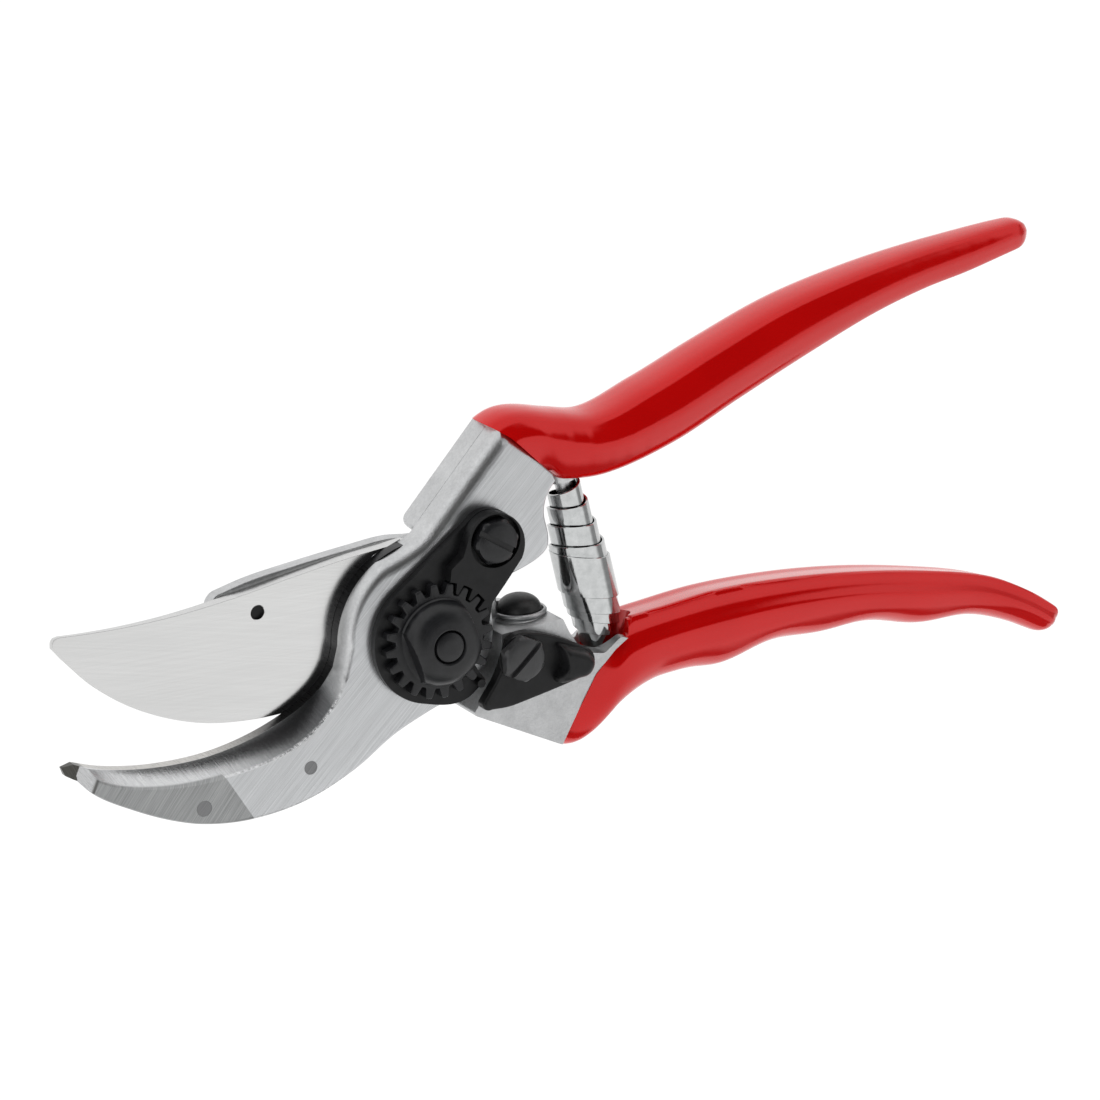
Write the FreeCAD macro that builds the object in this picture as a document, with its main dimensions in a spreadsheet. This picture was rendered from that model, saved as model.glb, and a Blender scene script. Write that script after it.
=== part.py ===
import FreeCAD, Part
import math
import os
import Sketcher

# Bypass pruning shears, drawn open. All lengths are in millimetres.
# The origin is on the pivot axis, in the plane of the bolt head's lower face, on which the shears lie.
# +Z runs along the pivot axis towards the toothed nut. +X runs along the tool towards the grips.
# The blade side (blade, lower handle) is the fixed half. The anvil side (hooked jaw, upper handle)
# turns about the pivot, and turning it clockwise seen from +Z closes the shears.

doc = FreeCAD.newDocument("pruning_shears")
V = FreeCAD.Vector
UP = V(0, 0, 1)


# ---------------------------------------------------------------- driving dimensions

SIZES = [
    # heights of the layers above the resting plane
    ("back_level", 2.0), ("shear_level", 8.0), ("flange_level", 4.8), ("anvil_front", 10.65),
    ("anvil_face", 13.6), ("blade_face", 15.6), ("segment_face", 15.2), ("gear_face", 17.2),
    ("dome_top", 21.4), ("grip_middle", 8.0), ("side_level", 7.8), ("layer_gap", 0.05),
    # pivot
    ("bolt_radius", 4.0), ("bolt_thread_radius", 2.9), ("bolt_head_radius", 7.2), ("bolt_end", 21.7),
    ("bush_radius", 5.5), ("running_gap", 0.05),
    # hub layers
    ("blade_hub_radius", 16.9), ("heel_radius", 12.3), ("heel_recess_radius", 12.9),
    ("anvil_hub_radius", 12.9), ("jaw_root_radius", 17.8), ("anvil_clearance_radius", 17.3),
    # nut
    ("gear_teeth", 20), ("gear_tip_radius", 11.0), ("gear_root_radius", 9.0), ("dome_radius", 8.0),
    ("dome_top_radius", 3.4), ("nut_flat_distance", 6.3), ("nut_collar", 1.0), ("seat_radius", 8.8),
    # locking segment
    ("segment_radius", 12.4), ("segment_block", 2.4), ("segment_floor", 0.8), ("screw_recess_radius", 5.1),
    ("lug_height", 1.3), ("lug_radius", 0.8), ("lug_orbit", 13.1), ("lug_angle", -53.0),
    # hex screws
    ("hex_flats", 8.0), ("segment_head", 3.0), ("catch_head", 2.2), ("screw_radius", 2.2),
    ("slot_width", 0.9), ("slot_depth", 0.7), ("washer_height", 0.3), ("washer_radius", 4.3),
    ("catch_nut_flats", 7.0), ("nut_seat", 0.2),
    # thumb catch
    ("catch_gap", 0.1), ("catch_height", 2.3), ("catch_pivot_radius", 2.8), ("relief_height", 1.0),
    ("thumb_height", 3.4), ("lug_root", 0.2),
    # blade
    ("blade_hole_radius", 1.35), ("blade_taper", 2.2), ("taper_start", -18.0), ("sink_depth", 1.7),
    ("screw_gap", 0.02), ("screw_end_depth", 0.8),
    # rivets
    ("tip_rivet_radius", 1.5), ("heel_rivet_radius", 1.3),
    # stop
    ("boss_radius", 5.5), ("boss_length", 8.0), ("dome_reach", 3.15), ("buffer_radius", 4.2),
    ("stem_radius", 2.6), ("stem_length", 6.0), ("rim_bore_depth", 1.2),
    # spring
    ("spring_end_radius", 2.9), ("spring_middle_radius", 5.5), ("spring_wall", 0.6),
    ("stud_radius", 1.7), ("stud_length", 2.5), ("stud_root", 0.6), ("seat_bore_radius", 3.7),
    ("seat_flare", 4.0), ("spring_space_length", 14.0), ("upper_seat_length", 3.5), ("spring_end_gap", 0.1),
    # grips
    ("coating", 1.4),
]

sheet = doc.addObject("Spreadsheet::Sheet", "Sizes")
for row_index, (alias, value) in enumerate(SIZES, start=1):
    sheet.set("A%d" % row_index, alias)
    sheet.set("B%d" % row_index, str(value))
    sheet.setAlias("B%d" % row_index, alias)
doc.recompute()


def size(alias):
    """The value of one driving dimension."""
    return float(sheet.get(alias))


# ---------------------------------------------------------------- places in plan (X, Y)

PIVOT = (0.0, 0.0)
CATCH_PIVOT = (15.5, -6.7)
SEGMENT_SCREW = (13.1, 16.5)
BLADE_HOLE = (-31.5, 11.0)
TIP_RIVET = (-48.7, -21.2)
HEEL_RIVET = (-26.9, -18.9)
RIM_CENTRE = (21.2, -1.3)       # middle of the stop's rim
STOP_ANGLE = 87.0               # direction of the stop's axis
LOWER_SEAT = (37.7, -14.6)      # spring seat on the blade handle
UPPER_SEAT = (32.75, 21.6)       # spring seat on the anvil handle


# ---------------------------------------------------------------- helpers

def flat(point, level=0.0):
    return V(point[0], point[1], level)


def polar(radius, degrees):
    turn = math.radians(degrees)
    return (radius * math.cos(turn), radius * math.sin(turn))


def outline(start, *steps):
    """Closed plan outline: ("line", p), ("arc", through, p) and ("curve", p, p, ...) steps from start."""
    edges = []
    here = flat(start)
    for step in steps:
        points = [here] + [flat(p) for p in step[1:]]
        if step[0] == "line":
            edges.append(Part.LineSegment(points[0], points[1]))
        elif step[0] == "arc":
            edges.append(Part.Arc(points[0], points[1], points[2]))
        else:
            spline = Part.BSplineCurve()
            spline.interpolate(points)
            edges.append(spline)
        here = points[-1]
    if here.distanceToPoint(flat(start)) > 1e-6:
        edges.append(Part.LineSegment(here, flat(start)))
    return edges


def circle(centre, radius):
    return [Part.Circle(flat(centre), UP, radius)]


def new_body(name):
    body = doc.addObject("PartDesign::Body", name)
    body.Label = name
    return body


def sketch(body, name, edges, level):
    """A sketch of the edges on the body's XY plane, lifted to a level given as a sheet formula."""
    plane = [f for f in body.Origin.OriginFeatures if f.Role == "XY_Plane"][0]
    made = body.newObject("Sketcher::SketchObject", name)
    made.AttachmentSupport = (plane, [""])
    made.MapMode = "FlatFace"
    made.setExpression("AttachmentOffset.Base.z", level)
    for edge in edges:
        made.addGeometry(edge, False)
    doc.recompute()
    return made


def pad(body, name, edges, low, high):
    """Material between two levels, each a sheet formula such as Sizes.back_level."""
    feature = body.newObject("PartDesign::Pad", name)
    feature.Profile = sketch(body, name + "_sketch", edges, low)
    feature.setExpression("Length", "%s - (%s)" % (high, low))
    doc.recompute()
    return feature


def pocket(body, name, edges, low, high):
    """A cut between two levels. The sketch lies on the upper one and the cut goes down."""
    feature = body.newObject("PartDesign::Pocket", name)
    feature.Profile = sketch(body, name + "_sketch", edges, high)
    feature.setExpression("Length", "%s - (%s)" % (high, low))
    before = feature.BaseFeature.Shape.Volume
    doc.recompute()
    if feature.Shape.Volume > before - 1e-3:
        raise RuntimeError(name + " cuts nothing")
    return feature


def plain(kind, name, place, **formulas):
    """A Part primitive with its sizes bound to the sheet."""
    made = doc.addObject("Part::" + kind, name)
    made.Label = name
    made.Placement = place
    for prop, formula in formulas.items():
        made.setExpression(prop, formula)
    return made


def join(name, *pieces):
    made = doc.addObject("Part::MultiFuse", name)
    made.Shapes = list(pieces)
    made.Refine = True
    made.Label = name
    doc.recompute()
    return made


def cut(name, base, tool):
    made = doc.addObject("Part::Cut", name)
    made.Base = base
    made.Tool = tool
    made.Refine = True
    made.Label = name
    doc.recompute()
    return made


def upright(point, level=0.0):
    return FreeCAD.Placement(flat(point, level), FreeCAD.Rotation())


def along(point, level, degrees):
    """Placement whose local Z runs in the plan direction given by degrees."""
    turn = FreeCAD.Rotation(UP, degrees) * FreeCAD.Rotation(V(0, 1, 0), 90)
    return FreeCAD.Placement(flat(point, level), turn)


def direction(start, end):
    return math.degrees(math.atan2(end[1] - start[1], end[0] - start[0]))


# ---------------------------------------------------------------- outlines shared by neighbours

# The cutting line of the hook, from the hub to the tip, and the hook's outer line back to the hub.
HOOK_EDGE = [(-19.1, -2.0), (-22.3, -5.4), (-30.3, -9.6), (-42.8, -12.4), (-55.4, -12.1),
             (-66.0, -9.8), (-71.5, -7.6)]
HOOK_TIP = [(-73.7, -8.7), (-72.2, -10.5)]
HOOK_BACK = [(-69.4, -13.2), (-62.2, -18.2), (-54.8, -22.2), (-48.7, -24.5), (-39.8, -26.0),
             (-28.4, -25.3), (-17.7, -21.8), (-9.1, -17.2), (0.0, -14.0)]
# The wall of the blade handle that faces the hub.
HUB_WALL = [(13.4, -2.4), (12.9, -6.6), (10.4, -10.8), (7.9, -14.1)]


# ---------------------------------------------------------------- grips

# Stations along each handle: centre in plan, half width, half height, direction of the handle there.
ANVIL_STATIONS = [
    ((17.0, 28.0), 7.8, 6.6, 44.0), ((24.5, 31.1), 7.8, 6.9, 30.0), ((31.5, 28.8), 6.9, 7.2, 2.0),
    ((39.0, 27.5), 6.4, 7.5, 2.0), ((52.5, 30.3), 6.8, 7.8, 15.0), ((67.0, 35.2), 6.6, 7.6, 20.0),
    ((83.0, 40.2), 6.2, 7.2, 20.0), ((99.0, 43.8), 5.0, 6.4, 13.0), ((111.0, 45.5), 4.3, 5.6, 8.0),
    ((121.0, 46.3), 3.9, 5.0, 5.0), ((129.5, 47.1), 3.2, 4.3, 5.0), ((136.0, 47.6), 1.7, 2.4, 5.0),
]
BLADE_STATIONS = [
    ((27.0, -15.0), 11.0, 7.6, -30.0), ((33.3, -18.7), 12.6, 7.8, -30.0),
    ((39.5, -15.7), 8.8, 7.9, -14.0), ((46.5, -14.5), 7.6, 7.9, -3.0), ((60.0, -14.3), 7.8, 7.9, 0.0),
    ((75.0, -14.5), 6.7, 7.8, -4.0), ((90.0, -16.0), 5.7, 7.4, -9.0), ((105.0, -19.4), 5.4, 6.6, -14.0),
    ((118.0, -22.6), 4.4, 5.4, -22.0), ((128.0, -27.0), 3.4, 4.7, -34.0), ((135.8, -32.5), 1.7, 2.4, -36.0),
]
CORNER_SHARE = 0.72             # corner radius of a section as a share of its smaller half size


def station_wire(station, shrink):
    """The rounded section of a handle at one station, its sides pulled in by shrink."""
    centre, half_width, half_height, degrees = station
    wide = half_width - shrink
    tall = half_height - shrink
    corner = CORNER_SHARE * min(wide, tall)
    inner = corner * (1.0 - math.sqrt(0.5))
    edges = []
    for sx, sy in ((1, 1), (-1, 1), (-1, -1), (1, -1)):
        side = V(sx * wide, sy * (tall - corner), 0)
        middle = V(sx * (wide - inner), sy * (tall - inner), 0)
        top = V(sx * (wide - corner), sy * tall, 0)
        ends = (side, top) if sx * sy > 0 else (top, side)
        if edges:
            edges.append(Part.LineSegment(edges[-1].EndPoint, ends[0]))
        edges.append(Part.Arc(ends[0], middle, ends[1]))
    edges.append(Part.LineSegment(edges[-1].EndPoint, edges[0].StartPoint))
    wire = Part.Wire([e.toShape() for e in edges])
    stand = FreeCAD.Rotation(V(0, 1, 0), V(0, 0, 1), V(1, 0, 0), "XYZ")
    wire.Placement = FreeCAD.Placement(
        flat(centre, size("grip_middle")), FreeCAD.Rotation(UP, degrees) * stand)
    return wire


def handle_loft(stations, shrink):
    return Part.makeLoft([station_wire(s, shrink) for s in stations], True, False)


def prism(edges, low, high):
    """A solid from a closed plan outline between two levels."""
    base = Part.Face(Part.Wire([e.toShape() for e in edges]))
    base.translate(V(0, 0, low))
    return base.extrude(V(0, 0, high - low))


def shaped(name, shape):
    made = doc.addObject("Part::Feature", name)
    made.Label = name
    made.Shape = shape
    return made


def tang(name, stations):
    """The handle's metal core inside its grip. It starts at the second station and ends before the last."""
    return shaped(name, handle_loft(stations[1:-1], size("coating")))


def grip(name, stations, handle, before_grip, seat, degrees):
    """The dipped coating: the outer loft less the metal in it, what lies before its edge and the spring."""
    outer = handle_loft(stations, 0.0)
    before = prism(before_grip, -1.0, size("dome_top"))
    space = spring_space(name + "_spring_space", seat, degrees)
    doc.recompute()
    return shaped(name, outer.cut(before).cut(space.Shape).cut(handle.Shape))


# ---------------------------------------------------------------- blade side

def lower_spring_direction():
    return direction(LOWER_SEAT, UPPER_SEAT)


def spring_space(name, seat, degrees):
    """Room for the spring's end and for its tilt."""
    return plain("Cone", name, along(seat, size("side_level"), degrees), Radius1="Sizes.seat_bore_radius",
                 Radius2="Sizes.seat_bore_radius + Sizes.seat_flare", Height="Sizes.spring_space_length")


def before_stop(distance):
    """Placement on the stop's axis, a distance behind the stop's rim."""
    back = polar(distance, STOP_ANGLE)
    return along((RIM_CENTRE[0] - back[0], RIM_CENTRE[1] - back[1]), size("side_level"), STOP_ANGLE)


def blade_handle():
    body = new_body("blade_handle_forging")
    hub = size("blade_hub_radius")
    right_side = [("line", (25.6, -2.4)), ("curve", (27.2, -6.0), (30.0, -10.5), (33.6, -12.6)),
                  ("line", (34.0, -15.2)), ("line", (32.3, -16.0)), ("line", (28.6, -21.0)),
                  ("line", (25.1, -26.1)), ("line", (23.5, -26.9))]
    web = outline(
        polar(hub, -90.0), ("arc", polar(hub, -135.0), polar(hub, -167.5)),
        ("curve", (-22.5, 1.2), (-31.0, 6.0), (-37.5, 9.2)), ("arc", (-39.7, 12.0), (-37.6, 15.2)),
        ("curve", (-30.9, 16.3), (-22.3, 16.9), (-10.4, 17.4), (-2.6, 17.5), polar(hub, 84.0)),
        ("arc", polar(hub, 45.0), polar(hub, 2.0)), *right_side, ("line", (5.8, -16.6)),
        ("line", polar(hub, -90.0)))
    pad(body, "web", web, "Sizes.back_level", "Sizes.flange_level")
    recess = size("heel_recess_radius")
    rim = outline(
        (0.0, -hub), ("arc", (hub, 0.0), (0.0, hub)), ("line", (0.0, recess)),
        ("arc", (recess, 0.0), (0.0, -recess)), ("line", (0.0, -hub)))
    pad(body, "heel_rim", rim, "Sizes.flange_level", "Sizes.shear_level")
    shoulder = outline(
        HUB_WALL[0], *right_side, ("line", (6.1, -16.6)),
        ("line", HUB_WALL[3]), ("curve", HUB_WALL[2], HUB_WALL[1], HUB_WALL[0]))
    pad(body, "shoulder", shoulder, "Sizes.flange_level", "Sizes.blade_face")
    tongue = outline(
        (29.0, -14.0), ("line", (24.0, -22.5)), ("line", (24.0, -26.3)), ("line", (28.3, -26.3)),
        ("line", (31.5, -23.5)), ("line", (35.5, -17.0)), ("line", (34.0, -14.5)), ("line", (29.0, -14.0)))
    pad(body, "tongue", tongue, "Sizes.flange_level", "Sizes.anvil_front")
    pocket(body, "bush_bore", circle(PIVOT, size("bush_radius")), "Sizes.back_level", "Sizes.flange_level")
    pocket(body, "blade_screw_bore", circle(BLADE_HOLE, size("blade_hole_radius")),
           "Sizes.back_level", "Sizes.flange_level")
    sink = plain("Cone", "blade_screw_sink", upright(BLADE_HOLE, size("back_level")),
                 Radius1="Sizes.blade_hole_radius + Sizes.sink_depth", Radius2="Sizes.blade_hole_radius",
                 Height="Sizes.sink_depth")
    boss = plain("Cylinder", "stop_boss", before_stop(size("boss_length")),
                 Radius="Sizes.boss_radius", Height="Sizes.boss_length")
    rim_bore = plain("Cylinder", "stop_rim_bore", before_stop(size("rim_bore_depth")),
                     Radius="Sizes.buffer_radius + 0.4", Height="Sizes.rim_bore_depth + 1")
    stem_bore = plain("Cylinder", "stop_stem_bore", before_stop(size("stem_length") + 0.2),
                      Radius="Sizes.stem_radius", Height="Sizes.stem_length + 1")
    stud_root = FreeCAD.Placement(V(0, 0, -size("stud_root")), FreeCAD.Rotation())
    stud_place = along(LOWER_SEAT, size("side_level"), lower_spring_direction()).multiply(stud_root)
    stud = plain("Cylinder", "lower_stud", stud_place,
                 Radius="Sizes.stud_radius", Height="Sizes.stud_length + Sizes.stud_root")
    space = spring_space("lower_spring_space", LOWER_SEAT, lower_spring_direction())
    doc.recompute()
    core = tang("blade_handle_core", BLADE_STATIONS)
    solid = join("blade_handle_joined", body, boss, core)
    screw_bore = plain("Cylinder", "catch_screw_bore", upright(CATCH_PIVOT),
                       Radius="Sizes.screw_radius", Height="Sizes.blade_face + 1")
    nut_pocket = plain("Cylinder", "catch_nut_pocket", upright(CATCH_PIVOT),
                       Radius="Sizes.washer_radius", Height="Sizes.back_level + Sizes.catch_height")
    hollows = join("blade_handle_hollows", rim_bore, stem_bore, sink, space, screw_bore, nut_pocket)
    return join("blade_handle", cut("blade_handle_cut", solid, hollows), stud)


def cutting_blade():
    body = new_body("blade_blank")
    heel = size("heel_radius")
    edge_start = polar(heel, 232.0)
    blank = outline(
        (-0.4, heel), ("line", (-0.4, 17.3)), ("curve", (-12.0, 16.9), (-24.0, 16.0), (-36.0, 14.9),
                                             (-48.0, 14.4), (-58.0, 14.7), (-66.0, 15.4), (-70.5, 15.95)),
        ("arc", (-71.9, 15.5), (-72.1, 14.0)),
        ("curve", (-70.8, 12.0), (-65.2, 5.2), (-56.7, -1.6), (-45.4, -6.9), (-34.5, -9.0),
         (-24.0, -9.3), (-14.0, -9.0), edge_start),
        ("arc", polar(heel, 320.0), polar(heel, 60.0)), ("arc", polar(heel, 75.0), (-0.4, heel)))
    pad(body, "blank", blank, "Sizes.flange_level", "Sizes.shear_level")
    pocket(body, "pivot_bore", circle(PIVOT, size("bush_radius")), "Sizes.flange_level", "Sizes.shear_level")
    pocket(body, "screw_hole", circle(BLADE_HOLE, size("blade_hole_radius")),
           "Sizes.flange_level", "Sizes.shear_level")
    return body


def sharpen(name, blank):
    """Thin the blade towards its tip, from its back."""
    corner = V(size("taper_start"), -40.0, size("flange_level"))
    start = FreeCAD.Placement(corner, FreeCAD.Rotation(V(0, 1, 0), 180.0 + size("blade_taper")))
    wedge = plain("Box", "blade_taper_tool", start, Length="70 mm", Width="80 mm", Height="4 mm")
    return cut(name, blank, wedge)


def blade_screw():
    """Countersunk screw that holds the blade to the web, with its slot in the back."""
    foot = upright(BLADE_HOLE, size("back_level"))
    head = plain("Cone", "blade_screw_head", foot,
                 Radius1="Sizes.blade_hole_radius + Sizes.sink_depth - Sizes.layer_gap",
                 Radius2="Sizes.blade_hole_radius - Sizes.screw_gap",
                 Height="Sizes.sink_depth - Sizes.screw_gap - 0.01")
    shank = plain("Cylinder", "blade_screw_shank", foot, Radius="Sizes.blade_hole_radius - Sizes.screw_gap",
                  Height="Sizes.shear_level - Sizes.back_level - Sizes.screw_end_depth")
    slot_length = 8.0
    slot_start = (BLADE_HOLE[0] - slot_length / 2, BLADE_HOLE[1] - size("slot_width") / 2)
    slot = plain("Box", "blade_screw_slot", upright(slot_start, size("back_level")),
                 Width="Sizes.slot_width", Height="Sizes.slot_depth")
    slot.Length = slot_length
    return cut("blade_screw", join("blade_screw_body", head, shank), slot)


def pivot_bush():
    place = upright(PIVOT, size("back_level"))
    outer = plain("Cylinder", "bush_outer", place, Radius="Sizes.bush_radius",
                  Height="Sizes.shear_level - Sizes.back_level")
    inner = plain("Cylinder", "bush_inner", place, Radius="Sizes.bolt_radius + Sizes.running_gap",
                  Height="Sizes.shear_level - Sizes.back_level")
    return cut("pivot_bush", outer, inner)


def buffer():
    """Rubber stop: a domed head on a stem pressed into the boss."""
    base = size("rim_bore_depth")
    reach = size("dome_reach")
    radius = size("buffer_radius")
    stem = size("stem_radius")
    bottom = -size("stem_length")
    points = [V(0, 0, bottom), V(stem, 0, bottom), V(stem, 0, -base), V(radius, 0, -base), V(radius, 0, 0)]
    edges = [Part.LineSegment(a, b) for a, b in zip(points, points[1:])]
    dome = Part.BSplineCurve()
    dome.interpolate([V(radius, 0, 0), V(radius * 0.86, 0, reach * 0.52), V(radius * 0.5, 0, reach * 0.87),
                      V(0, 0, reach)], InitialTangent=V(0, 0, 1), FinalTangent=V(-1, 0, 0))
    edges += [dome, Part.LineSegment(V(0, 0, reach), points[0])]
    face = Part.Face(Part.Wire([e.toShape() for e in edges]))
    made = shaped("buffer", face.revolve(V(0, 0, 0), UP, 360))
    made.Placement = along(RIM_CENTRE, size("side_level"), STOP_ANGLE)
    return made


def hexagon(centre, flats, degrees):
    corner = flats / math.sqrt(3.0)
    points = []
    for i in range(6):
        dx, dy = polar(corner, degrees + 60.0 * i)
        points.append((centre[0] + dx, centre[1] + dy))
    return outline(points[0], *[("line", p) for p in points[1:] + points[:1]])


def bar(centre, length, width, degrees):
    """A rectangle centred on a point and turned by degrees."""
    points = []
    for sx, sy in ((-1, -1), (1, -1), (1, 1), (-1, 1)):
        radius = math.hypot(length, width) / 2
        dx, dy = polar(radius, degrees + math.degrees(math.atan2(sy * width, sx * length)))
        points.append((centre[0] + dx, centre[1] + dy))
    return outline(points[0], *[("line", p) for p in points[1:] + points[:1]])


def hex_screw(name, centre, turn, slot_turn, shank_low, head_low, head_high):
    """Slotted hex-head screw; the levels are sheet formulas."""
    body = new_body(name)
    pad(body, name + "_head", hexagon(centre, size("hex_flats"), turn), head_low, head_high)
    pad(body, name + "_shank", circle(centre, size("screw_radius")), shank_low, head_low)
    pocket(body, name + "_slot", bar(centre, 2 * size("hex_flats"), size("slot_width"), slot_turn),
           head_high + " - Sizes.slot_depth", head_high)
    return body


def ring(name, centre, outer_radius, inner_radius, low, high):
    body = new_body(name)
    pad(body, name + "_ring", circle(centre, outer_radius) + circle(centre, inner_radius), low, high)
    return body


def catch_nut():
    body = new_body("catch_nut")
    disc = hexagon(CATCH_PIVOT, size("catch_nut_flats"), 10.0) + circle(CATCH_PIVOT, size("screw_radius"))
    pad(body, "nut_disc", disc, "Sizes.back_level + Sizes.nut_seat", "Sizes.back_level + Sizes.catch_height")
    return body


# ---------------------------------------------------------------- anvil side

def anvil_handle():
    body = new_body("anvil_handle_forging")
    clear = size("anvil_clearance_radius")
    hub = size("anvil_hub_radius")
    root = size("jaw_root_radius")
    heel = polar(clear, 25.2)
    right = [("line", (23.7, 9.7)), ("arc", (25.5, 11.0), (26.0, 13.2)),
             ("curve", (25.6, 18.2), (26.8, 21.8), (30.2, 25.0)), ("line", (32.5, 27.0)),
             ("line", (25.0, 34.8)), ("line", (18.4, 35.9))]
    lower = outline(heel, *right, ("line", (2.3, 20.7)), ("arc", (1.8, 19.4), (2.3, 18.2)),
                    ("line", polar(clear, 78.0)), ("arc", polar(clear, 50.0), heel))
    front = outline(
        heel, *right, ("line", (2.3, 20.7)), ("curve", (0.2, 18.8), (-3.0, 17.4), polar(root, 118.0)),
        ("arc", polar(root, 148.0), polar(root, 176.0)), ("curve", *HOOK_EDGE), ("line", HOOK_TIP[0]),
        ("line", HOOK_TIP[1]), ("line", HOOK_BACK[0]), ("curve", *HOOK_BACK[1:]),
        ("curve", (3.4, -12.9), polar(hub, -58.0)), ("arc", polar(hub, -20.0), polar(hub, 22.0)),
        ("line", heel))
    above = "Sizes.shear_level + Sizes.layer_gap"
    pad(body, "front_layer", front, above, "Sizes.anvil_face")
    pad(body, "rear_layer", lower, "Sizes.back_level", above)
    pocket(body, "bolt_bore", circle(PIVOT, size("bolt_radius") + size("running_gap")),
           above, "Sizes.anvil_face")
    pocket(body, "segment_screw_bore", circle(SEGMENT_SCREW, size("screw_radius")),
           "Sizes.flange_level", "Sizes.anvil_face")
    pocket(body, "tip_rivet_bore", circle(TIP_RIVET, size("tip_rivet_radius")), above, "Sizes.anvil_face")
    pocket(body, "heel_rivet_bore", circle(HEEL_RIVET, size("heel_rivet_radius")), above, "Sizes.anvil_face")
    return body


def anvil_blade():
    body = new_body("anvil_blade")
    root = size("jaw_root_radius")
    hub = size("anvil_hub_radius") - 0.8
    back = [(-68.8, -12.3), (-61.7, -17.0), (-54.5, -20.9), (-48.5, -23.1), (-39.8, -24.6),
            (-28.8, -23.9), (-18.4, -20.5), (-9.6, -16.0), (-1.5, -12.6)]
    plate = outline(
        polar(root, 118.0), ("arc", polar(root, 148.0), polar(root, 176.0)), ("curve", *HOOK_EDGE),
        ("line", HOOK_TIP[0]), ("line", HOOK_TIP[1]), ("curve", *back),
        ("curve", (2.6, -12.0), polar(hub, -62.0)),
        ("arc", polar(hub, 0.0), polar(hub, 70.0)), ("line", polar(root, 96.0)),
        ("arc", polar(root, 107.0), polar(root, 118.0)))
    above = "Sizes.shear_level + Sizes.layer_gap"
    pad(body, "plate", plate, above, "Sizes.anvil_front")
    pocket(body, "plate_bolt_bore", circle(PIVOT, size("bush_radius")), above, "Sizes.anvil_front")
    pocket(body, "plate_tip_bore", circle(TIP_RIVET, size("tip_rivet_radius")), above, "Sizes.anvil_front")
    pocket(body, "plate_heel_bore", circle(HEEL_RIVET, size("heel_rivet_radius")), above, "Sizes.anvil_front")
    return body


def rivet(name, centre, radius):
    body = new_body(name)
    low = "Sizes.shear_level + Sizes.layer_gap"
    pad(body, name + "_shank", circle(centre, radius), low, "Sizes.anvil_face")
    return body


def pivot_bolt():
    body = new_body("pivot_bolt")
    pad(body, "bolt_head", circle(PIVOT, size("bolt_head_radius")),
        "0", "Sizes.back_level - Sizes.layer_gap")
    pad(body, "bolt_shaft", circle(PIVOT, size("bolt_radius")),
        "Sizes.back_level - Sizes.layer_gap", "Sizes.anvil_face")
    pad(body, "bolt_thread", circle(PIVOT, size("bolt_thread_radius")), "Sizes.anvil_face", "Sizes.bolt_end")
    return body


def pivot_nut():
    """Flange, gear and domed wrench body round the bolt's thread."""
    body = new_body("pivot_nut")
    pad(body, "nut_flange", circle(PIVOT, size("seat_radius")), "Sizes.anvil_face", "Sizes.segment_face")
    root = size("gear_root_radius")
    tip = size("gear_tip_radius")
    pad(body, "gear_disc", circle(PIVOT, root), "Sizes.segment_face", "Sizes.gear_face")
    tooth = outline(polar(root - 0.3, -5.6), ("line", polar(tip - 0.5, -3.4)),
                    ("arc", polar(tip, 0.0), polar(tip - 0.5, 3.4)), ("line", polar(root - 0.3, 5.6)),
                    ("line", polar(root - 0.3, -5.6)))
    one = pad(body, "tooth", tooth, "Sizes.segment_face", "Sizes.gear_face")
    teeth = body.newObject("PartDesign::PolarPattern", "teeth")
    teeth.Originals = [one]
    axis = [f for f in body.Origin.OriginFeatures if f.Role == "Z_Axis"][0]
    teeth.Axis = (axis, [""])
    teeth.Angle = 360
    teeth.setExpression("Occurrences", "Sizes.gear_teeth")
    body.Tip = teeth
    doc.recompute()
    profile_plane = [f for f in body.Origin.OriginFeatures if f.Role == "XZ_Plane"][0]
    profile = body.newObject("Sketcher::SketchObject", "dome_profile")
    profile.AttachmentSupport = (profile_plane, [""])
    profile.MapMode = "FlatFace"
    low = size("gear_face")
    collar = low + size("nut_collar")
    high = size("dome_top")
    bore = size("bolt_thread_radius") + 0.3
    wide = size("dome_radius")
    narrow = size("dome_top_radius")
    crown = (0.78 * wide, collar + 0.62 * (high - collar))
    for edge in outline((bore, low), ("line", (wide, low)), ("line", (wide, collar)),
                        ("arc", crown, (narrow, high)), ("line", (bore, high)), ("line", (bore, low))):
        profile.addGeometry(edge, False)
    doc.recompute()
    dome = body.newObject("PartDesign::Revolution", "dome")
    dome.Profile = profile
    dome.ReferenceAxis = (axis, [""])
    dome.Angle = 360
    doc.recompute()
    far = size("nut_flat_distance") + size("dome_radius")
    for i in range(2):
        centre = polar(far, 15.0 + 180.0 * i)
        beyond = bar(centre, 2 * size("dome_radius"), 4 * size("dome_radius"), 15.0)
        pocket(body, "wrench_flat_%d" % i, beyond, "Sizes.gear_face", "Sizes.dome_top + 1")
    pocket(body, "nut_bore", circle(PIVOT, bore), "Sizes.anvil_face", "Sizes.dome_top + 1")
    return body


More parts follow.
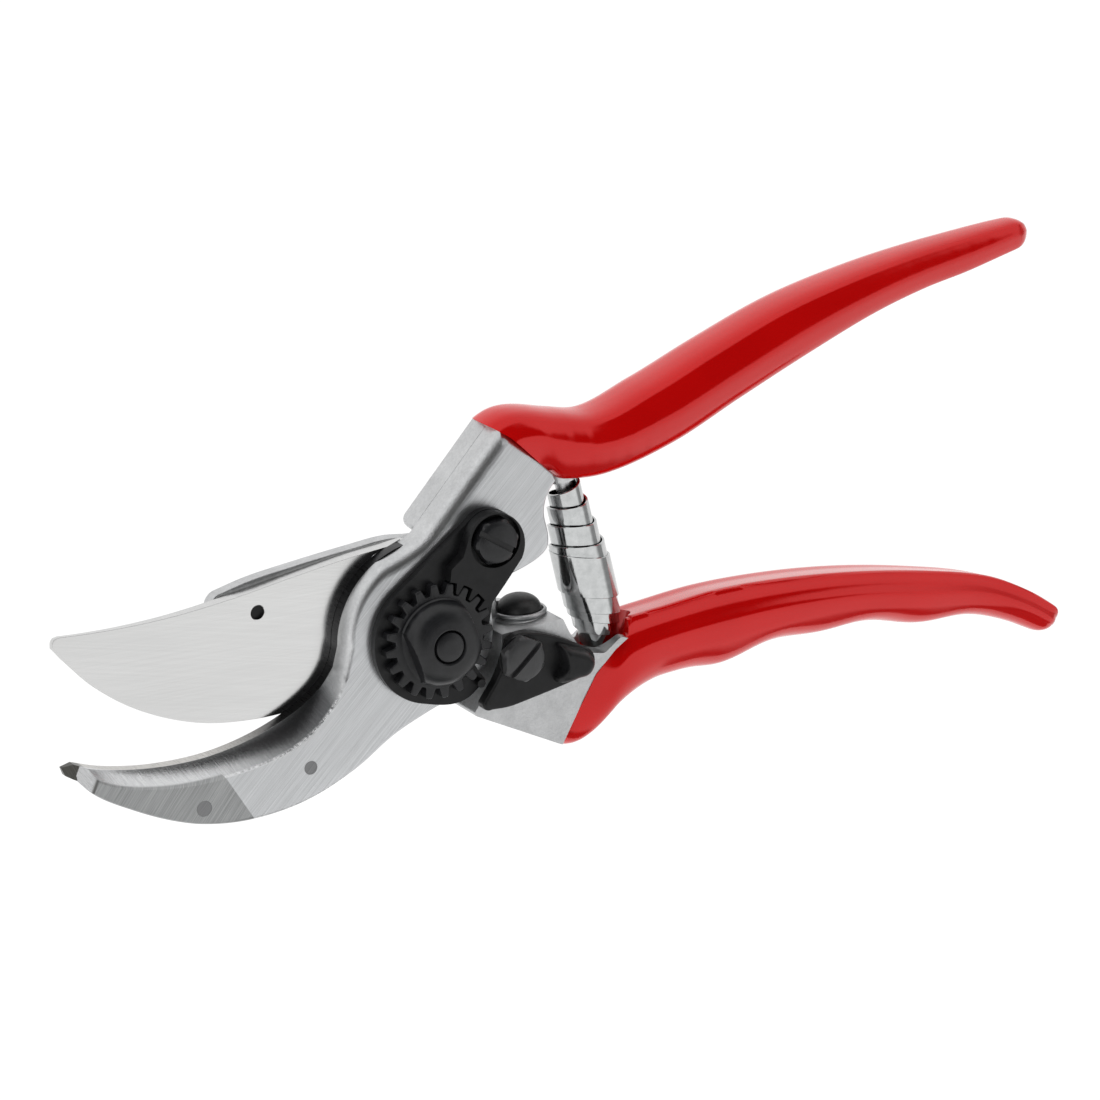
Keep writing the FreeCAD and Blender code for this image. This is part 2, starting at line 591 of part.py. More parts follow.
def locking_segment():
    body = new_body("locking_segment")
    left = size("segment_radius")
    right_side = [("line", (12.2, 3.6)), ("line", (14.3, 8.0)), ("line", (18.2, 12.0)),
                  ("arc", (19.0, 16.8), (15.8, 21.2)), ("arc", (12.4, 22.1), (9.3, 20.8))]
    plate = outline(
        (10.95, -1.0), *right_side, ("line", polar(left, 121.5)),
        ("arc", polar(left, 180.0), polar(left, 250.0)),
        ("curve", (-1.0, -12.75), (2.4, -13.4), (5.9, -12.8)),
        ("line", (9.3, -10.5)), ("line", polar(10.2, -43.0)), ("arc", polar(10.2, -25.0), polar(10.2, -6.0)),
        ("line", (10.95, -1.0)))
    pad(body, "segment_plate", plate, "Sizes.anvil_face", "Sizes.segment_face")
    inner = size("gear_tip_radius") + 0.3
    block = outline(polar(inner, 22.0), ("line", (14.2, 7.9)), ("line", (18.1, 12.0)),
                    ("arc", (18.9, 16.8), (15.8, 21.1)), ("arc", (11.6, 21.9), (7.9, 18.6)),
                    ("line", (6.3, 15.0)), ("line", (3.6, 13.2)), ("line", polar(inner, 74.0)),
                    ("arc", polar(inner, 48.0), polar(inner, 22.0)))
    top = "Sizes.segment_face + Sizes.segment_block"
    pad(body, "segment_block", block, "Sizes.segment_face", top)
    pitch = 360.0 / size("gear_teeth")
    root = size("gear_root_radius") + 0.3
    for i in range(2, 5):
        middle = pitch * (i - 0.5)
        tooth = outline(polar(inner + 0.3, middle - 4.0), ("line", polar(root, middle - 1.5)),
                        ("line", polar(root, middle + 1.5)), ("line", polar(inner + 0.3, middle + 4.0)),
                        ("line", polar(inner + 0.3, middle - 4.0)))
        pad(body, "lock_tooth_%d" % i, tooth, "Sizes.segment_face", top)
    lug = polar(size("lug_orbit"), size("lug_angle"))
    pad(body, "stop_lug", circle(lug, size("lug_radius")),
        "Sizes.segment_face", "Sizes.segment_face + Sizes.lug_height")
    pocket(body, "nut_opening", circle(PIVOT, size("seat_radius") + size("running_gap")),
           "Sizes.anvil_face", "Sizes.segment_face")
    pocket(body, "screw_recess", circle(SEGMENT_SCREW, size("screw_recess_radius")),
           "Sizes.segment_face + Sizes.segment_floor", top)
    pocket(body, "segment_bore", circle(SEGMENT_SCREW, size("screw_radius")),
           "Sizes.anvil_face", "Sizes.segment_face + Sizes.segment_floor")
    return body


# ---------------------------------------------------------------- catch and spring

CATCH_EDGE = [(13.6, -3.3), (12.4, -6.3), (10.2, -10.2), (8.0, -12.8), (7.1, -13.9)]


def closed_wire(points, level):
    corners = [flat(p, level) for p in points]
    return Part.makePolygon(corners + corners[:1])


def thumb_catch():
    body = new_body("catch_forging")
    low = "Sizes.blade_face + Sizes.catch_gap"
    high = low + " + Sizes.catch_height"
    plate = outline(
        CATCH_EDGE[-1], ("arc", (7.3, -15.0), (8.9, -15.6)),
        ("curve", (12.4, -15.9), (16.7, -15.5), (23.1, -14.7), (28.6, -13.9)),
        ("arc", (31.0, -11.6), (29.7, -8.6)),
        ("curve", (24.1, -5.1), (19.0, -2.9), (15.8, -2.3), CATCH_EDGE[0]),
        ("curve", *CATCH_EDGE[1:]))
    pad(body, "catch_plate", plate, low, high)
    pocket(body, "catch_bore", circle(CATCH_PIVOT, size("catch_pivot_radius")), low, high)
    slot = outline((6.6, -10.0), ("line", (8.6, -9.0)), ("line", (10.3, -11.9)),
                   ("arc", (10.0, -13.3), (8.5, -13.2)), ("line", (6.6, -10.0)))
    pocket(body, "lug_relief", slot, low, low + " + Sizes.relief_height")
    top = size("blade_face") + size("catch_gap") + size("catch_height")
    foot = top - size("lug_root")
    peak = top + size("thumb_height")
    base = closed_wire([(22.6, -5.2), (29.2, -8.8), (30.2, -11.0), (28.2, -13.3), (22.3, -13.4)], foot)
    ridge = closed_wire([(24.0, -8.3), (27.2, -9.6), (28.2, -10.9), (27.0, -11.4), (23.8, -10.2)], peak)
    lug = shaped("catch_lug", Part.makeLoft([base, ridge], True, True))
    return join("thumb_catch", body, lug)


def volute_spring():
    """Double volute strip spring, as its hollow barrel."""
    start = V(*LOWER_SEAT, 0)
    end = V(*UPPER_SEAT, 0)
    gap = size("spring_end_gap")
    length = (end - start).Length - 2 * gap
    end_radius = size("spring_end_radius")
    wall = size("spring_wall")
    middle = size("spring_middle_radius")

    def side(inset):
        return Part.Arc(V(end_radius - inset, 0, 0), V(middle - inset, 0, length / 2),
                        V(end_radius - inset, 0, length))
    outer = side(0.0)
    inner = side(wall)
    edges = [outer, Part.LineSegment(outer.EndPoint, inner.EndPoint), inner,
             Part.LineSegment(inner.StartPoint, outer.StartPoint)]
    face = Part.Face(Part.Wire([e.toShape() for e in edges]))
    made = shaped("volute_spring", face.revolve(V(0, 0, 0), UP, 360))
    place = along(LOWER_SEAT, size("side_level"), lower_spring_direction())
    made.Placement = place.multiply(FreeCAD.Placement(V(0, 0, gap), FreeCAD.Rotation()))
    return made


def anvil_handle_whole():
    forging = anvil_handle()
    core = tang("anvil_handle_core", ANVIL_STATIONS)
    inward = lower_spring_direction() + 180.0
    seat_place = along(UPPER_SEAT, size("side_level"), inward)
    stud = plain("Cylinder", "upper_stud", seat_place, Radius="Sizes.stud_radius", Height="Sizes.stud_length")
    seat = plain("Cylinder", "upper_seat", along(UPPER_SEAT, size("side_level"), inward - 180.0),
                 Radius="Sizes.spring_end_radius + 0.1", Height="Sizes.upper_seat_length")
    return join("anvil_handle", cut("anvil_handle_cut", join("anvil_handle_joined", forging, core, seat),
                                    NODES["anvil_blade"]), stud)


# ---------------------------------------------------------------- build and write

NODES = {}
NODES["blade_handle"] = blade_handle()
NODES["cutting_blade"] = sharpen("cutting_blade", cutting_blade())
NODES["blade_screw"] = blade_screw()
NODES["pivot_bush"] = pivot_bush()
NODES["buffer"] = buffer()
catch_top = "Sizes.blade_face + Sizes.catch_gap + Sizes.catch_height"
NODES["catch_washer"] = ring("catch_washer", CATCH_PIVOT, size("washer_radius"), size("screw_radius"),
                             catch_top, catch_top + " + Sizes.washer_height")
NODES["catch_screw"] = hex_screw("catch_screw", CATCH_PIVOT, 8.0, 38.0, "Sizes.back_level + 0.6",
                                 catch_top + " + Sizes.washer_height",
                                 catch_top + " + Sizes.washer_height + Sizes.catch_head")
NODES["catch_nut"] = catch_nut()
NODES["anvil_blade"] = anvil_blade()
NODES["anvil_handle"] = anvil_handle_whole()
NODES["tip_rivet"] = rivet("tip_rivet", TIP_RIVET, size("tip_rivet_radius"))
NODES["heel_rivet"] = rivet("heel_rivet", HEEL_RIVET, size("heel_rivet_radius"))
NODES["pivot_bolt"] = pivot_bolt()
NODES["pivot_nut"] = pivot_nut()
NODES["locking_segment"] = locking_segment()
segment_top = "Sizes.segment_face + Sizes.segment_floor"
NODES["segment_screw"] = hex_screw("segment_screw", SEGMENT_SCREW, 20.0, -37.0, "Sizes.flange_level + 1",
                                   segment_top, segment_top + " + Sizes.segment_head")
NODES["thumb_catch"] = thumb_catch()
NODES["volute_spring"] = volute_spring()
BLADE_GRIP_EDGE = outline(
    (40.5, -3.0),
    ("curve", (40.0, -9.3), (36.6, -11.2), (32.0, -15.0), (28.0, -20.6), (24.6, -25.6), (21.0, -31.0)),
    ("line", (0.0, -31.0)), ("line", (0.0, -3.0)), ("line", (40.5, -3.0)))
NODES["blade_grip"] = grip("blade_grip", BLADE_STATIONS, NODES["blade_handle"], BLADE_GRIP_EDGE,
                           LOWER_SEAT, lower_spring_direction())
ANVIL_GRIP_EDGE = outline(
    (9.0, 41.0), ("line", (17.4, 36.0)), ("line", (20.0, 33.9)), ("line", (28.0, 25.0)),
    ("line", (31.0, 18.0)), ("line", (0.0, 10.0)), ("line", (9.0, 41.0)))
NODES["anvil_grip"] = grip("anvil_grip", ANVIL_STATIONS, NODES["anvil_handle"], ANVIL_GRIP_EDGE,
                           UPPER_SEAT, lower_spring_direction() + 180.0)
doc.recompute()

for made in doc.Objects:
    if "Invalid" in made.State or "Error" in made.State:
        raise RuntimeError(made.Name + " failed: " + ", ".join(made.State))
os.makedirs("parts", exist_ok=True)
for node, made in NODES.items():
    shape = made.Shape
    if shape.isNull() or not shape.isValid() or not shape.Solids:
        raise RuntimeError(node + " has no valid solid")
    made.Label = node
    shape.exportStep("parts/%s.step" % node)
    box = shape.BoundBox
    print("%-16s solids %d volume %9.1f  x %.1f..%.1f  y %.1f..%.1f  z %.2f..%.2f" % (
        node, len(shape.Solids), shape.Volume, box.XMin, box.XMax, box.YMin, box.YMax, box.ZMin, box.ZMax))
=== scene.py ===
import math

import bmesh
import bpy
from mathutils import Euler, Matrix, Vector


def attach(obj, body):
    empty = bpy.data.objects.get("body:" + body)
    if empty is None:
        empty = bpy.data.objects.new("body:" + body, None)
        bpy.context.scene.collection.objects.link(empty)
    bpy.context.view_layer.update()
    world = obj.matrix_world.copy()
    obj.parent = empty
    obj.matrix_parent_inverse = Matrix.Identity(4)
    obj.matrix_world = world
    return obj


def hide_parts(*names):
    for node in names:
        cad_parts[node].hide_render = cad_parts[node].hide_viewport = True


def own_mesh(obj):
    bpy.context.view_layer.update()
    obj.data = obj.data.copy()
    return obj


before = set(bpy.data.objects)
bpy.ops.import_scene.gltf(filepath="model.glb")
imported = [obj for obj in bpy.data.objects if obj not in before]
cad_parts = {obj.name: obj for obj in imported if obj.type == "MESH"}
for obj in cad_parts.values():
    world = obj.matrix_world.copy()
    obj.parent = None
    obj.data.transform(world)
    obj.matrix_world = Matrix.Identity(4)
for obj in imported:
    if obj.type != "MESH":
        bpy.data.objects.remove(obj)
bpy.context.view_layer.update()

# Bypass pruning shears. Lengths below are in millimetres in the CAD frame, and MM turns them into metres.
# +Z runs up the pivot, +X towards the grips, +Y towards the anvil side's grip.

MM = 0.001

# Levels along the pivot, from the back of the shears to the front.
WEB_LOW, WEB_TOP = 2.0, 4.8
SPRING_LEVEL = 7.8
BLADE_FRONT = 8.0
STEEL_LOW = 8.05
FRONT_LOW, FRONT_TOP = 10.65, 13.6
GEAR_LOW, GEAR_TOP = 15.2, 17.2
CATCH_LOW, CATCH_TOP = 15.7, 18.0
SHOULDER_TOP = 15.6
BELOW, ABOVE = -5.0, 30.0

# Axes and lines in plan.
PIVOT = (0.0, 0.0)
CATCH_AXIS = (15.5, -6.7)
SEGMENT_AXIS = (13.1, 16.5)
STOP_SEAT = (21.2, -1.3)
STOP_DEGREES = 87.0
SPRING_DEGREES = 97.9
HOLLOW_DEGREES = 94.0
FACET_START, FACET_END = (-43.0, -18.0), (-40.1, -23.7)
BUSH_RADIUS = 5.5


# ---- plan curves

def polar(radius, degrees):
    turn = math.radians(degrees)
    return (radius * math.cos(turn), radius * math.sin(turn))


def round_pivot(radius):
    """A circle about the pivot, which gives its point at an angle in degrees."""
    return lambda degrees: polar(radius, degrees)


outer_rim = round_pivot(17.8)
heel_rim = round_pivot(17.3)
web_rim = round_pivot(16.9)
web_core = round_pivot(14.5)
front_hub = round_pivot(12.9)
rim_bore = round_pivot(12.6)
blade_hub = round_pivot(12.3)
steel_hub = round_pivot(12.1)


def lerp(a, b, share):
    return a + (b - a) * share


def ease(share):
    """A smooth step from 0 to 1."""
    share = min(1.0, max(0.0, share))
    return share * share * (3.0 - 2.0 * share)


def hump(value, middle, spread):
    """A bell curve, 1 at its middle."""
    return math.exp(-((value - middle) / spread) ** 2)


def spline(points, step, closed=False):
    """Points about a step apart on a smooth curve. The given points may have any number of values."""
    points = [tuple(p) for p in points]
    count = len(points)
    result = []
    for i in range(count if closed else count - 1):
        if closed:
            p0, p1, p2, p3 = (points[(i + k) % count] for k in (-1, 0, 1, 2))
        else:
            p1, p2 = points[i], points[i + 1]
            p0 = points[i - 1] if i else tuple(2 * a - b for a, b in zip(p1, p2))
            p3 = points[i + 2] if i + 2 < count else tuple(2 * b - a for a, b in zip(p1, p2))
        length = math.dist(p1[:2], p2[:2])
        parts = max(1, round(length / step))
        before = max(math.dist(p0[:2], p1[:2]), 1e-6)
        after = max(math.dist(p2[:2], p3[:2]), 1e-6)
        length = max(length, 1e-6)
        for j in range(parts):
            u = j / parts
            value = []
            for a, b, c, d in zip(p0, p1, p2, p3):
                start = ((b - a) / before * length + (c - b)) / 2
                end = ((c - b) + (d - c) / after * length) / 2
                value.append((2 * u**3 - 3 * u**2 + 1) * b + (u**3 - 2 * u**2 + u) * start
                             + (3 * u**2 - 2 * u**3) * c + (u**3 - u**2) * end)
            result.append(tuple(value))
    if not closed:
        result.append(points[-1])
    return result


def arc(start, through, end, step):
    """Points on the circle through three points."""
    ax, ay, bx, by, cx, cy = *start, *through, *end
    d = 2 * (ax * (by - cy) + bx * (cy - ay) + cx * (ay - by))
    ux = ((ax**2 + ay**2) * (by - cy) + (bx**2 + by**2) * (cy - ay) + (cx**2 + cy**2) * (ay - by)) / d
    uy = ((ax**2 + ay**2) * (cx - bx) + (bx**2 + by**2) * (ax - cx) + (cx**2 + cy**2) * (bx - ax)) / d
    radius = math.dist(start, (ux, uy))
    first, middle, last = (math.atan2(y - uy, x - ux) for x, y in (start, through, end))
    turn = (last - first) % math.tau
    if (middle - first) % math.tau > turn:
        turn -= math.tau
    parts = max(2, round(abs(turn) * radius / step))
    turns = [first + turn * i / parts for i in range(parts + 1)]
    return [(ux + radius * math.cos(t), uy + radius * math.sin(t)) for t in turns]


def outline(start, *steps, step=0.6):
    """Closed plan outline from ("line", p), ("arc", through, p) and ("curve", p, p, ...) steps."""
    result = [start]
    for kind, *points in steps:
        here = result[-1]
        if kind == "arc":
            added = arc(here, points[0], points[1], step)
        elif kind == "curve":
            added = spline([here] + points, step)
        else:
            parts = max(1, round(math.dist(here, points[0]) / (2 * step)))
            added = [tuple(lerp(a, b, i / parts) for a, b in zip(here, points[0])) for i in range(parts + 1)]
        result += added[1:]
    if math.dist(result[0], result[-1]) < 0.02:
        result.pop()
    area = sum(a[0] * b[1] - b[0] * a[1] for a, b in zip(result, result[1:] + result[:1]))
    return result if area > 0 else result[::-1]


def circle(centre, radius, count=48):
    return [(centre[0] + radius * math.cos(math.tau * i / count),
             centre[1] + radius * math.sin(math.tau * i / count)) for i in range(count)]


def inward(points):
    """The unit direction into the material at each point of an anticlockwise outline."""
    count = len(points)
    result = []
    for i in range(count):
        a, b, c = points[i - 1], points[i], points[(i + 1) % count]
        first = Vector((b[0] - a[0], b[1] - a[1])).normalized()
        second = Vector((c[0] - b[0], c[1] - b[1])).normalized()
        along = (first + second).normalized()
        normal = Vector((-along.y, along.x))
        stretch = 1.0 / max(0.5, normal.dot(Vector((-second.y, second.x))))
        result.append(normal * stretch)
    return result


# ---- meshes

def build(name, points, faces, sharp=35.0):
    """A mesh piece from points in millimetres, smooth except across edges sharper than the given angle."""
    mesh = bpy.data.meshes.new(name)
    mesh.from_pydata([(x * MM, y * MM, z * MM) for x, y, z in points], [], faces)
    return finish_mesh(name, mesh, sharp)


def finish_mesh(name, mesh, sharp):
    work = bmesh.new()
    work.from_mesh(mesh)
    bmesh.ops.remove_doubles(work, verts=work.verts, dist=1e-6)
    bmesh.ops.recalc_face_normals(work, faces=work.faces)
    for face in work.faces:
        face.smooth = True
    for edge in work.edges:
        edge.smooth = len(edge.link_faces) != 2 or edge.calc_face_angle(0.0) < math.radians(sharp)
    work.to_mesh(mesh)
    work.free()
    made = bpy.data.objects.new(name, mesh)
    bpy.context.collection.objects.link(made)
    return made


def quads(first, second, count):
    """Faces between two rings of points, given by the number of each ring's first point."""
    return [(first + i, first + (i + 1) % count, second + (i + 1) % count, second + i) for i in range(count)]


def ring_solid(name, loops, sharp=35.0):
    """A plate from loops, each a list of rings from the lower face to the upper. Holes are further loops."""
    points = []
    faces = []
    lower = []
    upper = []
    for rings in loops:
        count = len(rings[0])
        base = len(points)
        for ring in rings:
            points += ring
        for k in range(len(rings) - 1):
            faces += quads(base + k * count, base + (k + 1) * count, count)
        lower.append([base + i for i in range(count)])
        upper.append([base + (len(rings) - 1) * count + i for i in range(count)])
    work = bmesh.new()
    made = [work.verts.new((x * MM, y * MM, z * MM)) for x, y, z in points]
    for face in faces:
        work.faces.new([made[i] for i in face])
    work.edges.ensure_lookup_table()
    for rims in (lower, upper):
        edges = [work.edges.get((made[a], made[b])) for rim in rims for a, b in zip(rim, rim[1:] + rim[:1])]
        bmesh.ops.triangle_fill(work, use_beauty=True, use_dissolve=False, edges=edges)
    mesh = bpy.data.meshes.new(name)
    work.to_mesh(mesh)
    work.free()
    return finish_mesh(name, mesh, sharp)


def edge_rings(points, low, high, round_low=0.3, round_high=0.3, width=None, shape=None, parts=4,
               hole=False):
    """Rings from the lower face to the upper. The upper edge falls by round_high over width, each a number or
    a list with a value for each point. A shape of 0 is a round edge, 1 a slope and 2 a hollow slope."""
    side = inward(points)
    count = len(points)

    def spread(value):
        return value if isinstance(value, list) else [value] * count
    drop = spread(round_high)
    reach = spread(round_high if width is None else width)
    form = spread(0.0 if shape is None else shape)
    sign = -1.0 if hole else 1.0
    rings = []
    for k in range(parts + 1):
        turn = math.pi / 2 * k / parts
        inset = round_low * (1 - math.sin(turn))
        level = low + round_low * (1 - math.cos(turn))
        rings.append([(p[0] + sign * n.x * inset, p[1] + sign * n.y * inset, level)
                      for p, n in zip(points, side)])
    for k in range(parts + 1):
        share = k / parts
        ring = []
        for i, (p, n) in enumerate(zip(points, side)):
            turn = math.pi / 2 * share
            round_in, round_up = 1 - math.cos(turn), math.sin(turn)
            slope_up = share ** lerp(1.0, 1.7, max(0.0, form[i] - 1.0))
            mix = min(1.0, form[i])
            inset = reach[i] * lerp(round_in, share, mix)
            level = high - drop[i] * (1 - lerp(round_up, slope_up, mix))
            ring.append((p[0] + sign * n.x * inset, p[1] + sign * n.y * inset, level))
        rings.append(ring)
    return rings


def lathe(name, profile, centre=(0.0, 0.0), count=64, sharp=30.0, wobble=None):
    """A turned piece from (radius, level) points, from the bottom of the axis or bore to the top."""
    points = []
    faces = []
    closed = profile[0][0] > 0
    for radius, level in profile:
        for i in range(count):
            turn = math.tau * i / count
            real = radius if wobble is None else wobble(radius, turn, level)
            points.append((centre[0] + real * math.cos(turn), centre[1] + real * math.sin(turn), level))
    rows = len(profile)
    for k in range(rows if closed else rows - 1):
        faces += quads(k * count, (k + 1) % rows * count, count)
    return build(name, points, faces, sharp)


def bore(centre, radius, low, high, round_low=0.02, round_high=0.02, count=48):
    """The rings of a round hole."""
    return edge_rings(circle(centre, radius, count), low, high, round_low, round_high, hole=True, parts=1)


def loft(name, sections, sharp=50.0):
    """A skin over closed sections of equal counts, with its ends filled."""
    count = len(sections[0])
    points = [p for section in sections for p in section]
    faces = []
    for k in range(len(sections) - 1):
        faces += quads(k * count, (k + 1) * count, count)
    faces.append(tuple(range(count)))
    last = (len(sections) - 1) * count
    faces.append(tuple(last + i for i in range(count)))
    return build(name, points, faces, sharp)


def combine(piece, operation, others):
    """Apply closed pieces to a piece one after the other, and remove them."""
    for other in others:
        change = piece.modifiers.new("combine", "BOOLEAN")
        change.operation = operation
        change.solver = "EXACT"
        change.object = other
        apply_modifiers(piece)
        bpy.data.objects.remove(other)


def unite(piece, *others):
    combine(piece, "UNION", others)


def carve(piece, *tools):
    combine(piece, "DIFFERENCE", tools)
    sharpen(piece)
    return piece


def sharpen(piece, degrees=38.0):
    """Show the edges that turn by more than an angle as sharp ones."""
    work = bmesh.new()
    work.from_mesh(piece.data)
    for edge in work.edges:
        if edge.calc_face_angle(0.0) > math.radians(degrees):
            edge.smooth = False
    work.to_mesh(piece.data)
    work.free()


def apply_modifiers(piece):
    """Turn a piece's modifiers into its mesh."""
    bpy.context.view_layer.update()
    graph = bpy.context.evaluated_depsgraph_get()
    mesh = bpy.data.meshes.new_from_object(piece.evaluated_get(graph))
    piece.modifiers.clear()
    piece.data = mesh


def place(piece, material, body, slot, *nodes, even=True):
    """Give a piece its material, body and CAD nodes; the slot is not used. An even piece has its flat faces
    evenly shaded.
    """
    piece.data.materials.clear()
    piece.data.materials.append(material)
    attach(piece, body)
    if nodes:
        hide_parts(*nodes)
    if even:
        shade = piece.modifiers.new("even_flats", "WEIGHTED_NORMAL")
        shade.keep_sharp = True
        shade.weight = 90
    return piece


# ---- materials

class Tree:
    """A short way to write a node tree."""

    def __init__(self, tree):
        self.tree = tree

    def add(self, kind, inputs=None, **settings):
        node = self.tree.nodes.new("ShaderNode" + kind)
        for name, value in settings.items():
            setattr(node, name, value)
        for socket, value in (inputs or {}).items():
            if isinstance(value, bpy.types.NodeSocket):
                self.tree.links.new(value, node.inputs[socket])
            else:
                node.inputs[socket].default_value = value
        return node

    def span(self, value, low, high, to_low=0.0, to_high=1.0, smooth=False):
        kind = "SMOOTHSTEP" if smooth else "LINEAR"
        return self.add("MapRange", {"Value": value, "From Min": low, "From Max": high, "To Min": to_low,
                                     "To Max": to_high}, interpolation_type=kind).outputs["Result"]

    def math(self, operation, a, b=0.0):
        return self.add("Math", {0: a, 1: b}, operation=operation).outputs[0]

    def weighed(self, a, share_a, b, share_b):
        """The sum of two values, each with its weight."""
        return self.math("ADD", self.math("MULTIPLY", a, share_a), self.math("MULTIPLY", b, share_b))

    def mix(self, share, a, b):
        """A colour between two, each a socket or its red, green and blue."""
        a, b = (value if isinstance(value, bpy.types.NodeSocket) else (*value, 1.0) for value in (a, b))
        return self.add("Mix", {0: share, 6: a, 7: b}, data_type="RGBA").outputs[2]

    def blend(self, share, a, b):
        """A number between two."""
        return self.add("Mix", {0: share, 2: a, 3: b}, data_type="FLOAT").outputs[0]


class Nodes(Tree):
    """A material and its node tree."""

    def __init__(self, name, **values):
        self.material = bpy.data.materials.new(name)
        self.material.use_nodes = True
        super().__init__(self.material.node_tree)
        self.shader = self.tree.nodes["Principled BSDF"]
        for socket, value in values.items():
            self.shader.inputs[socket.replace("_", " ")].default_value = value

    def position(self, scale=(1.0, 1.0, 1.0), turn=0.0, shift=(0.0, 0.0, 0.0)):
        """Object coordinates in millimetres, turned about Z by degrees and stretched."""
        where = self.add("TexCoord").outputs["Object"]
        turned = self.add("Mapping", {"Vector": where, "Rotation": (0.0, 0.0, math.radians(turn)),
                                      "Location": tuple(v * MM for v in shift)})
        return self.add("Mapping", {"Vector": turned.outputs[0],
                                    "Scale": tuple(v / MM for v in scale)}).outputs[0]

    def noise(self, vector, scale=1.0, detail=4.0, roughness=0.6):
        return self.add("TexNoise", {"Vector": vector, "Scale": scale, "Detail": detail,
                                     "Roughness": roughness}).outputs["Fac"]

    def finished(self, colour, rough, height, strength, distance):
        """The material with its colour, its roughness or None, and a relief with its depth in millimetres."""
        normal = self.add("Bump", {"Height": height, "Strength": strength, "Distance": distance * MM})
        for source, socket in ((colour, "Base Color"), (rough, "Roughness"), (normal.outputs[0], "Normal")):
            if source:
                self.tree.links.new(source, self.shader.inputs[socket])
        return self.material


def red_coating():
    """Thick dipped vinyl: an even red gloss with a very faint waviness."""
    n = Nodes("red_coating", Roughness=0.1, IOR=1.75, Specular_IOR_Level=1.0,
              Specular_Tint=(1.0, 0.16, 0.16, 1.0))
    where = n.position()
    tone = n.noise(where, 0.09, 3.0)
    colour = n.mix(n.span(tone, 0.3, 0.7), (0.56, 0.0008, 0.0008), (0.60, 0.0012, 0.0012))
    rough = n.span(n.noise(where, 0.5, 5.0), 0.3, 0.75, 0.11, 0.16)
    return n.finished(colour, rough, n.noise(where, 0.35, 2.0), 0.06, 0.3)


def blasted(n, where):
    """Height of the fine pitted skin of a blasted forging."""
    pits = n.noise(where, 2.4, 6.0, 0.7)
    grains = n.add("TexVoronoi", {"Vector": where, "Scale": 3.4}, feature="F1").outputs["Distance"]
    return n.weighed(pits, 0.8, grains, 0.35)


def scratches(n, turn, fine=9.0, length=0.05, shift=(0.0, 0.0, 0.0)):
    """Grinding lines that run in one direction, as a value from 0 to 1."""
    return n.noise(n.position((length, fine, 0.4), turn, shift), 1.0, 3.0, 0.75)


def clouded(n, where):
    """The uneven tone of a blasted skin, and its fine spots."""
    cloud = n.noise(where, 0.22, 5.0, 0.65)
    spots = n.noise(where, 1.7, 6.0, 0.75)
    return n.span(n.weighed(cloud, 0.45, spots, 0.55), 0.32, 0.68), spots


def forged_aluminium():
    """The blasted skin of the forgings."""
    n = Nodes("forged_aluminium", Metallic=1.0, Roughness=0.42)
    where = n.position()
    skin, spots = clouded(n, where)
    colour = n.mix(skin, (0.42, 0.425, 0.43), (0.64, 0.645, 0.65))
    rough = n.span(spots, 0.3, 0.7, 0.38, 0.48)
    return n.finished(colour, rough, blasted(n, where), 0.4, 0.12)


def ground_aluminium():
    """A blasted forging whose front is ground flat, with a second flat and steeper lines near the tip."""
    n = Nodes("ground_aluminium", Metallic=1.0, Roughness=0.4)
    where = n.position()
    flat = n.add("SeparateXYZ", {"Vector": where})
    x, y, z = (flat.outputs[k] for k in "XYZ")
    start_x, start_y, end_x, end_y = FACET_START + FACET_END
    past = n.weighed(n.math("ADD", x, -start_x), end_y - start_y, n.math("ADD", y, -start_y), start_x - end_x)
    tip = n.span(past, 0.0, 0.6)
    face = n.math("MAXIMUM", n.span(z, FRONT_TOP - 0.16, FRONT_TOP - 0.06),
                  n.math("MULTIPLY", tip, n.span(z, FRONT_TOP - 1.0, FRONT_TOP - 0.7)))
    hook = n.span(x, -17.0, -22.0, smooth=True)
    skin, spots = clouded(n, where)
    lines = n.blend(tip, scratches(n, -40.0, 6.0, 0.05), scratches(n, -48.0, 7.0, 0.07, (3.0, 1.0, 0.0)))
    lined = n.span(lines, 0.3, 0.7)
    cross = n.span(scratches(n, 62.0, 5.0, 0.3, (1.0, 0.0, 0.0)), 0.3, 0.7)
    light = (0.62, 0.625, 0.63)

    # The hook's slope is bright near the tip, carries a painted dark reflection near the hub and a painted
    # highlight along its crest.
    painted_slope_shading = n.mix(n.span(x, -52.0, -21.0, smooth=True), n.mix(cross, (0.50, 0.505, 0.51), light),
                 n.mix(cross, (0.075, 0.077, 0.08), (0.12, 0.123, 0.126)))
    # Painted highlight along the crest of the slope, broken up by the spots.
    crest = n.math("MULTIPLY", n.span(z, FRONT_TOP - 0.6, FRONT_TOP - 0.3), n.span(spots, 0.4, 0.6))
    painted_slope_shading = n.mix(crest, painted_slope_shading, light)
    side = n.mix(hook, n.mix(skin, (0.42, 0.425, 0.43), light), painted_slope_shading)
    brushed = n.mix(lined, (0.43, 0.438, 0.445), (0.62, 0.63, 0.64))
    facet = n.mix(lined, (0.21, 0.216, 0.216), (0.40, 0.406, 0.406))
    past_end = n.span(n.weighed(x, 1.0, y, -0.55), -62.2, -62.4)
    facet = n.mix(past_end, facet, (0.13, 0.13, 0.125))
    colour = n.mix(face, side, n.mix(tip, brushed, facet))
    low = n.blend(hook, blasted(n, where), n.math("MULTIPLY", cross, 0.25))
    rough = n.blend(face, n.blend(hook, 0.3, 0.26), 0.32)
    return n.finished(colour, rough, n.blend(face, low, n.math("MULTIPLY", lines, 0.5)), 0.45, 0.12)


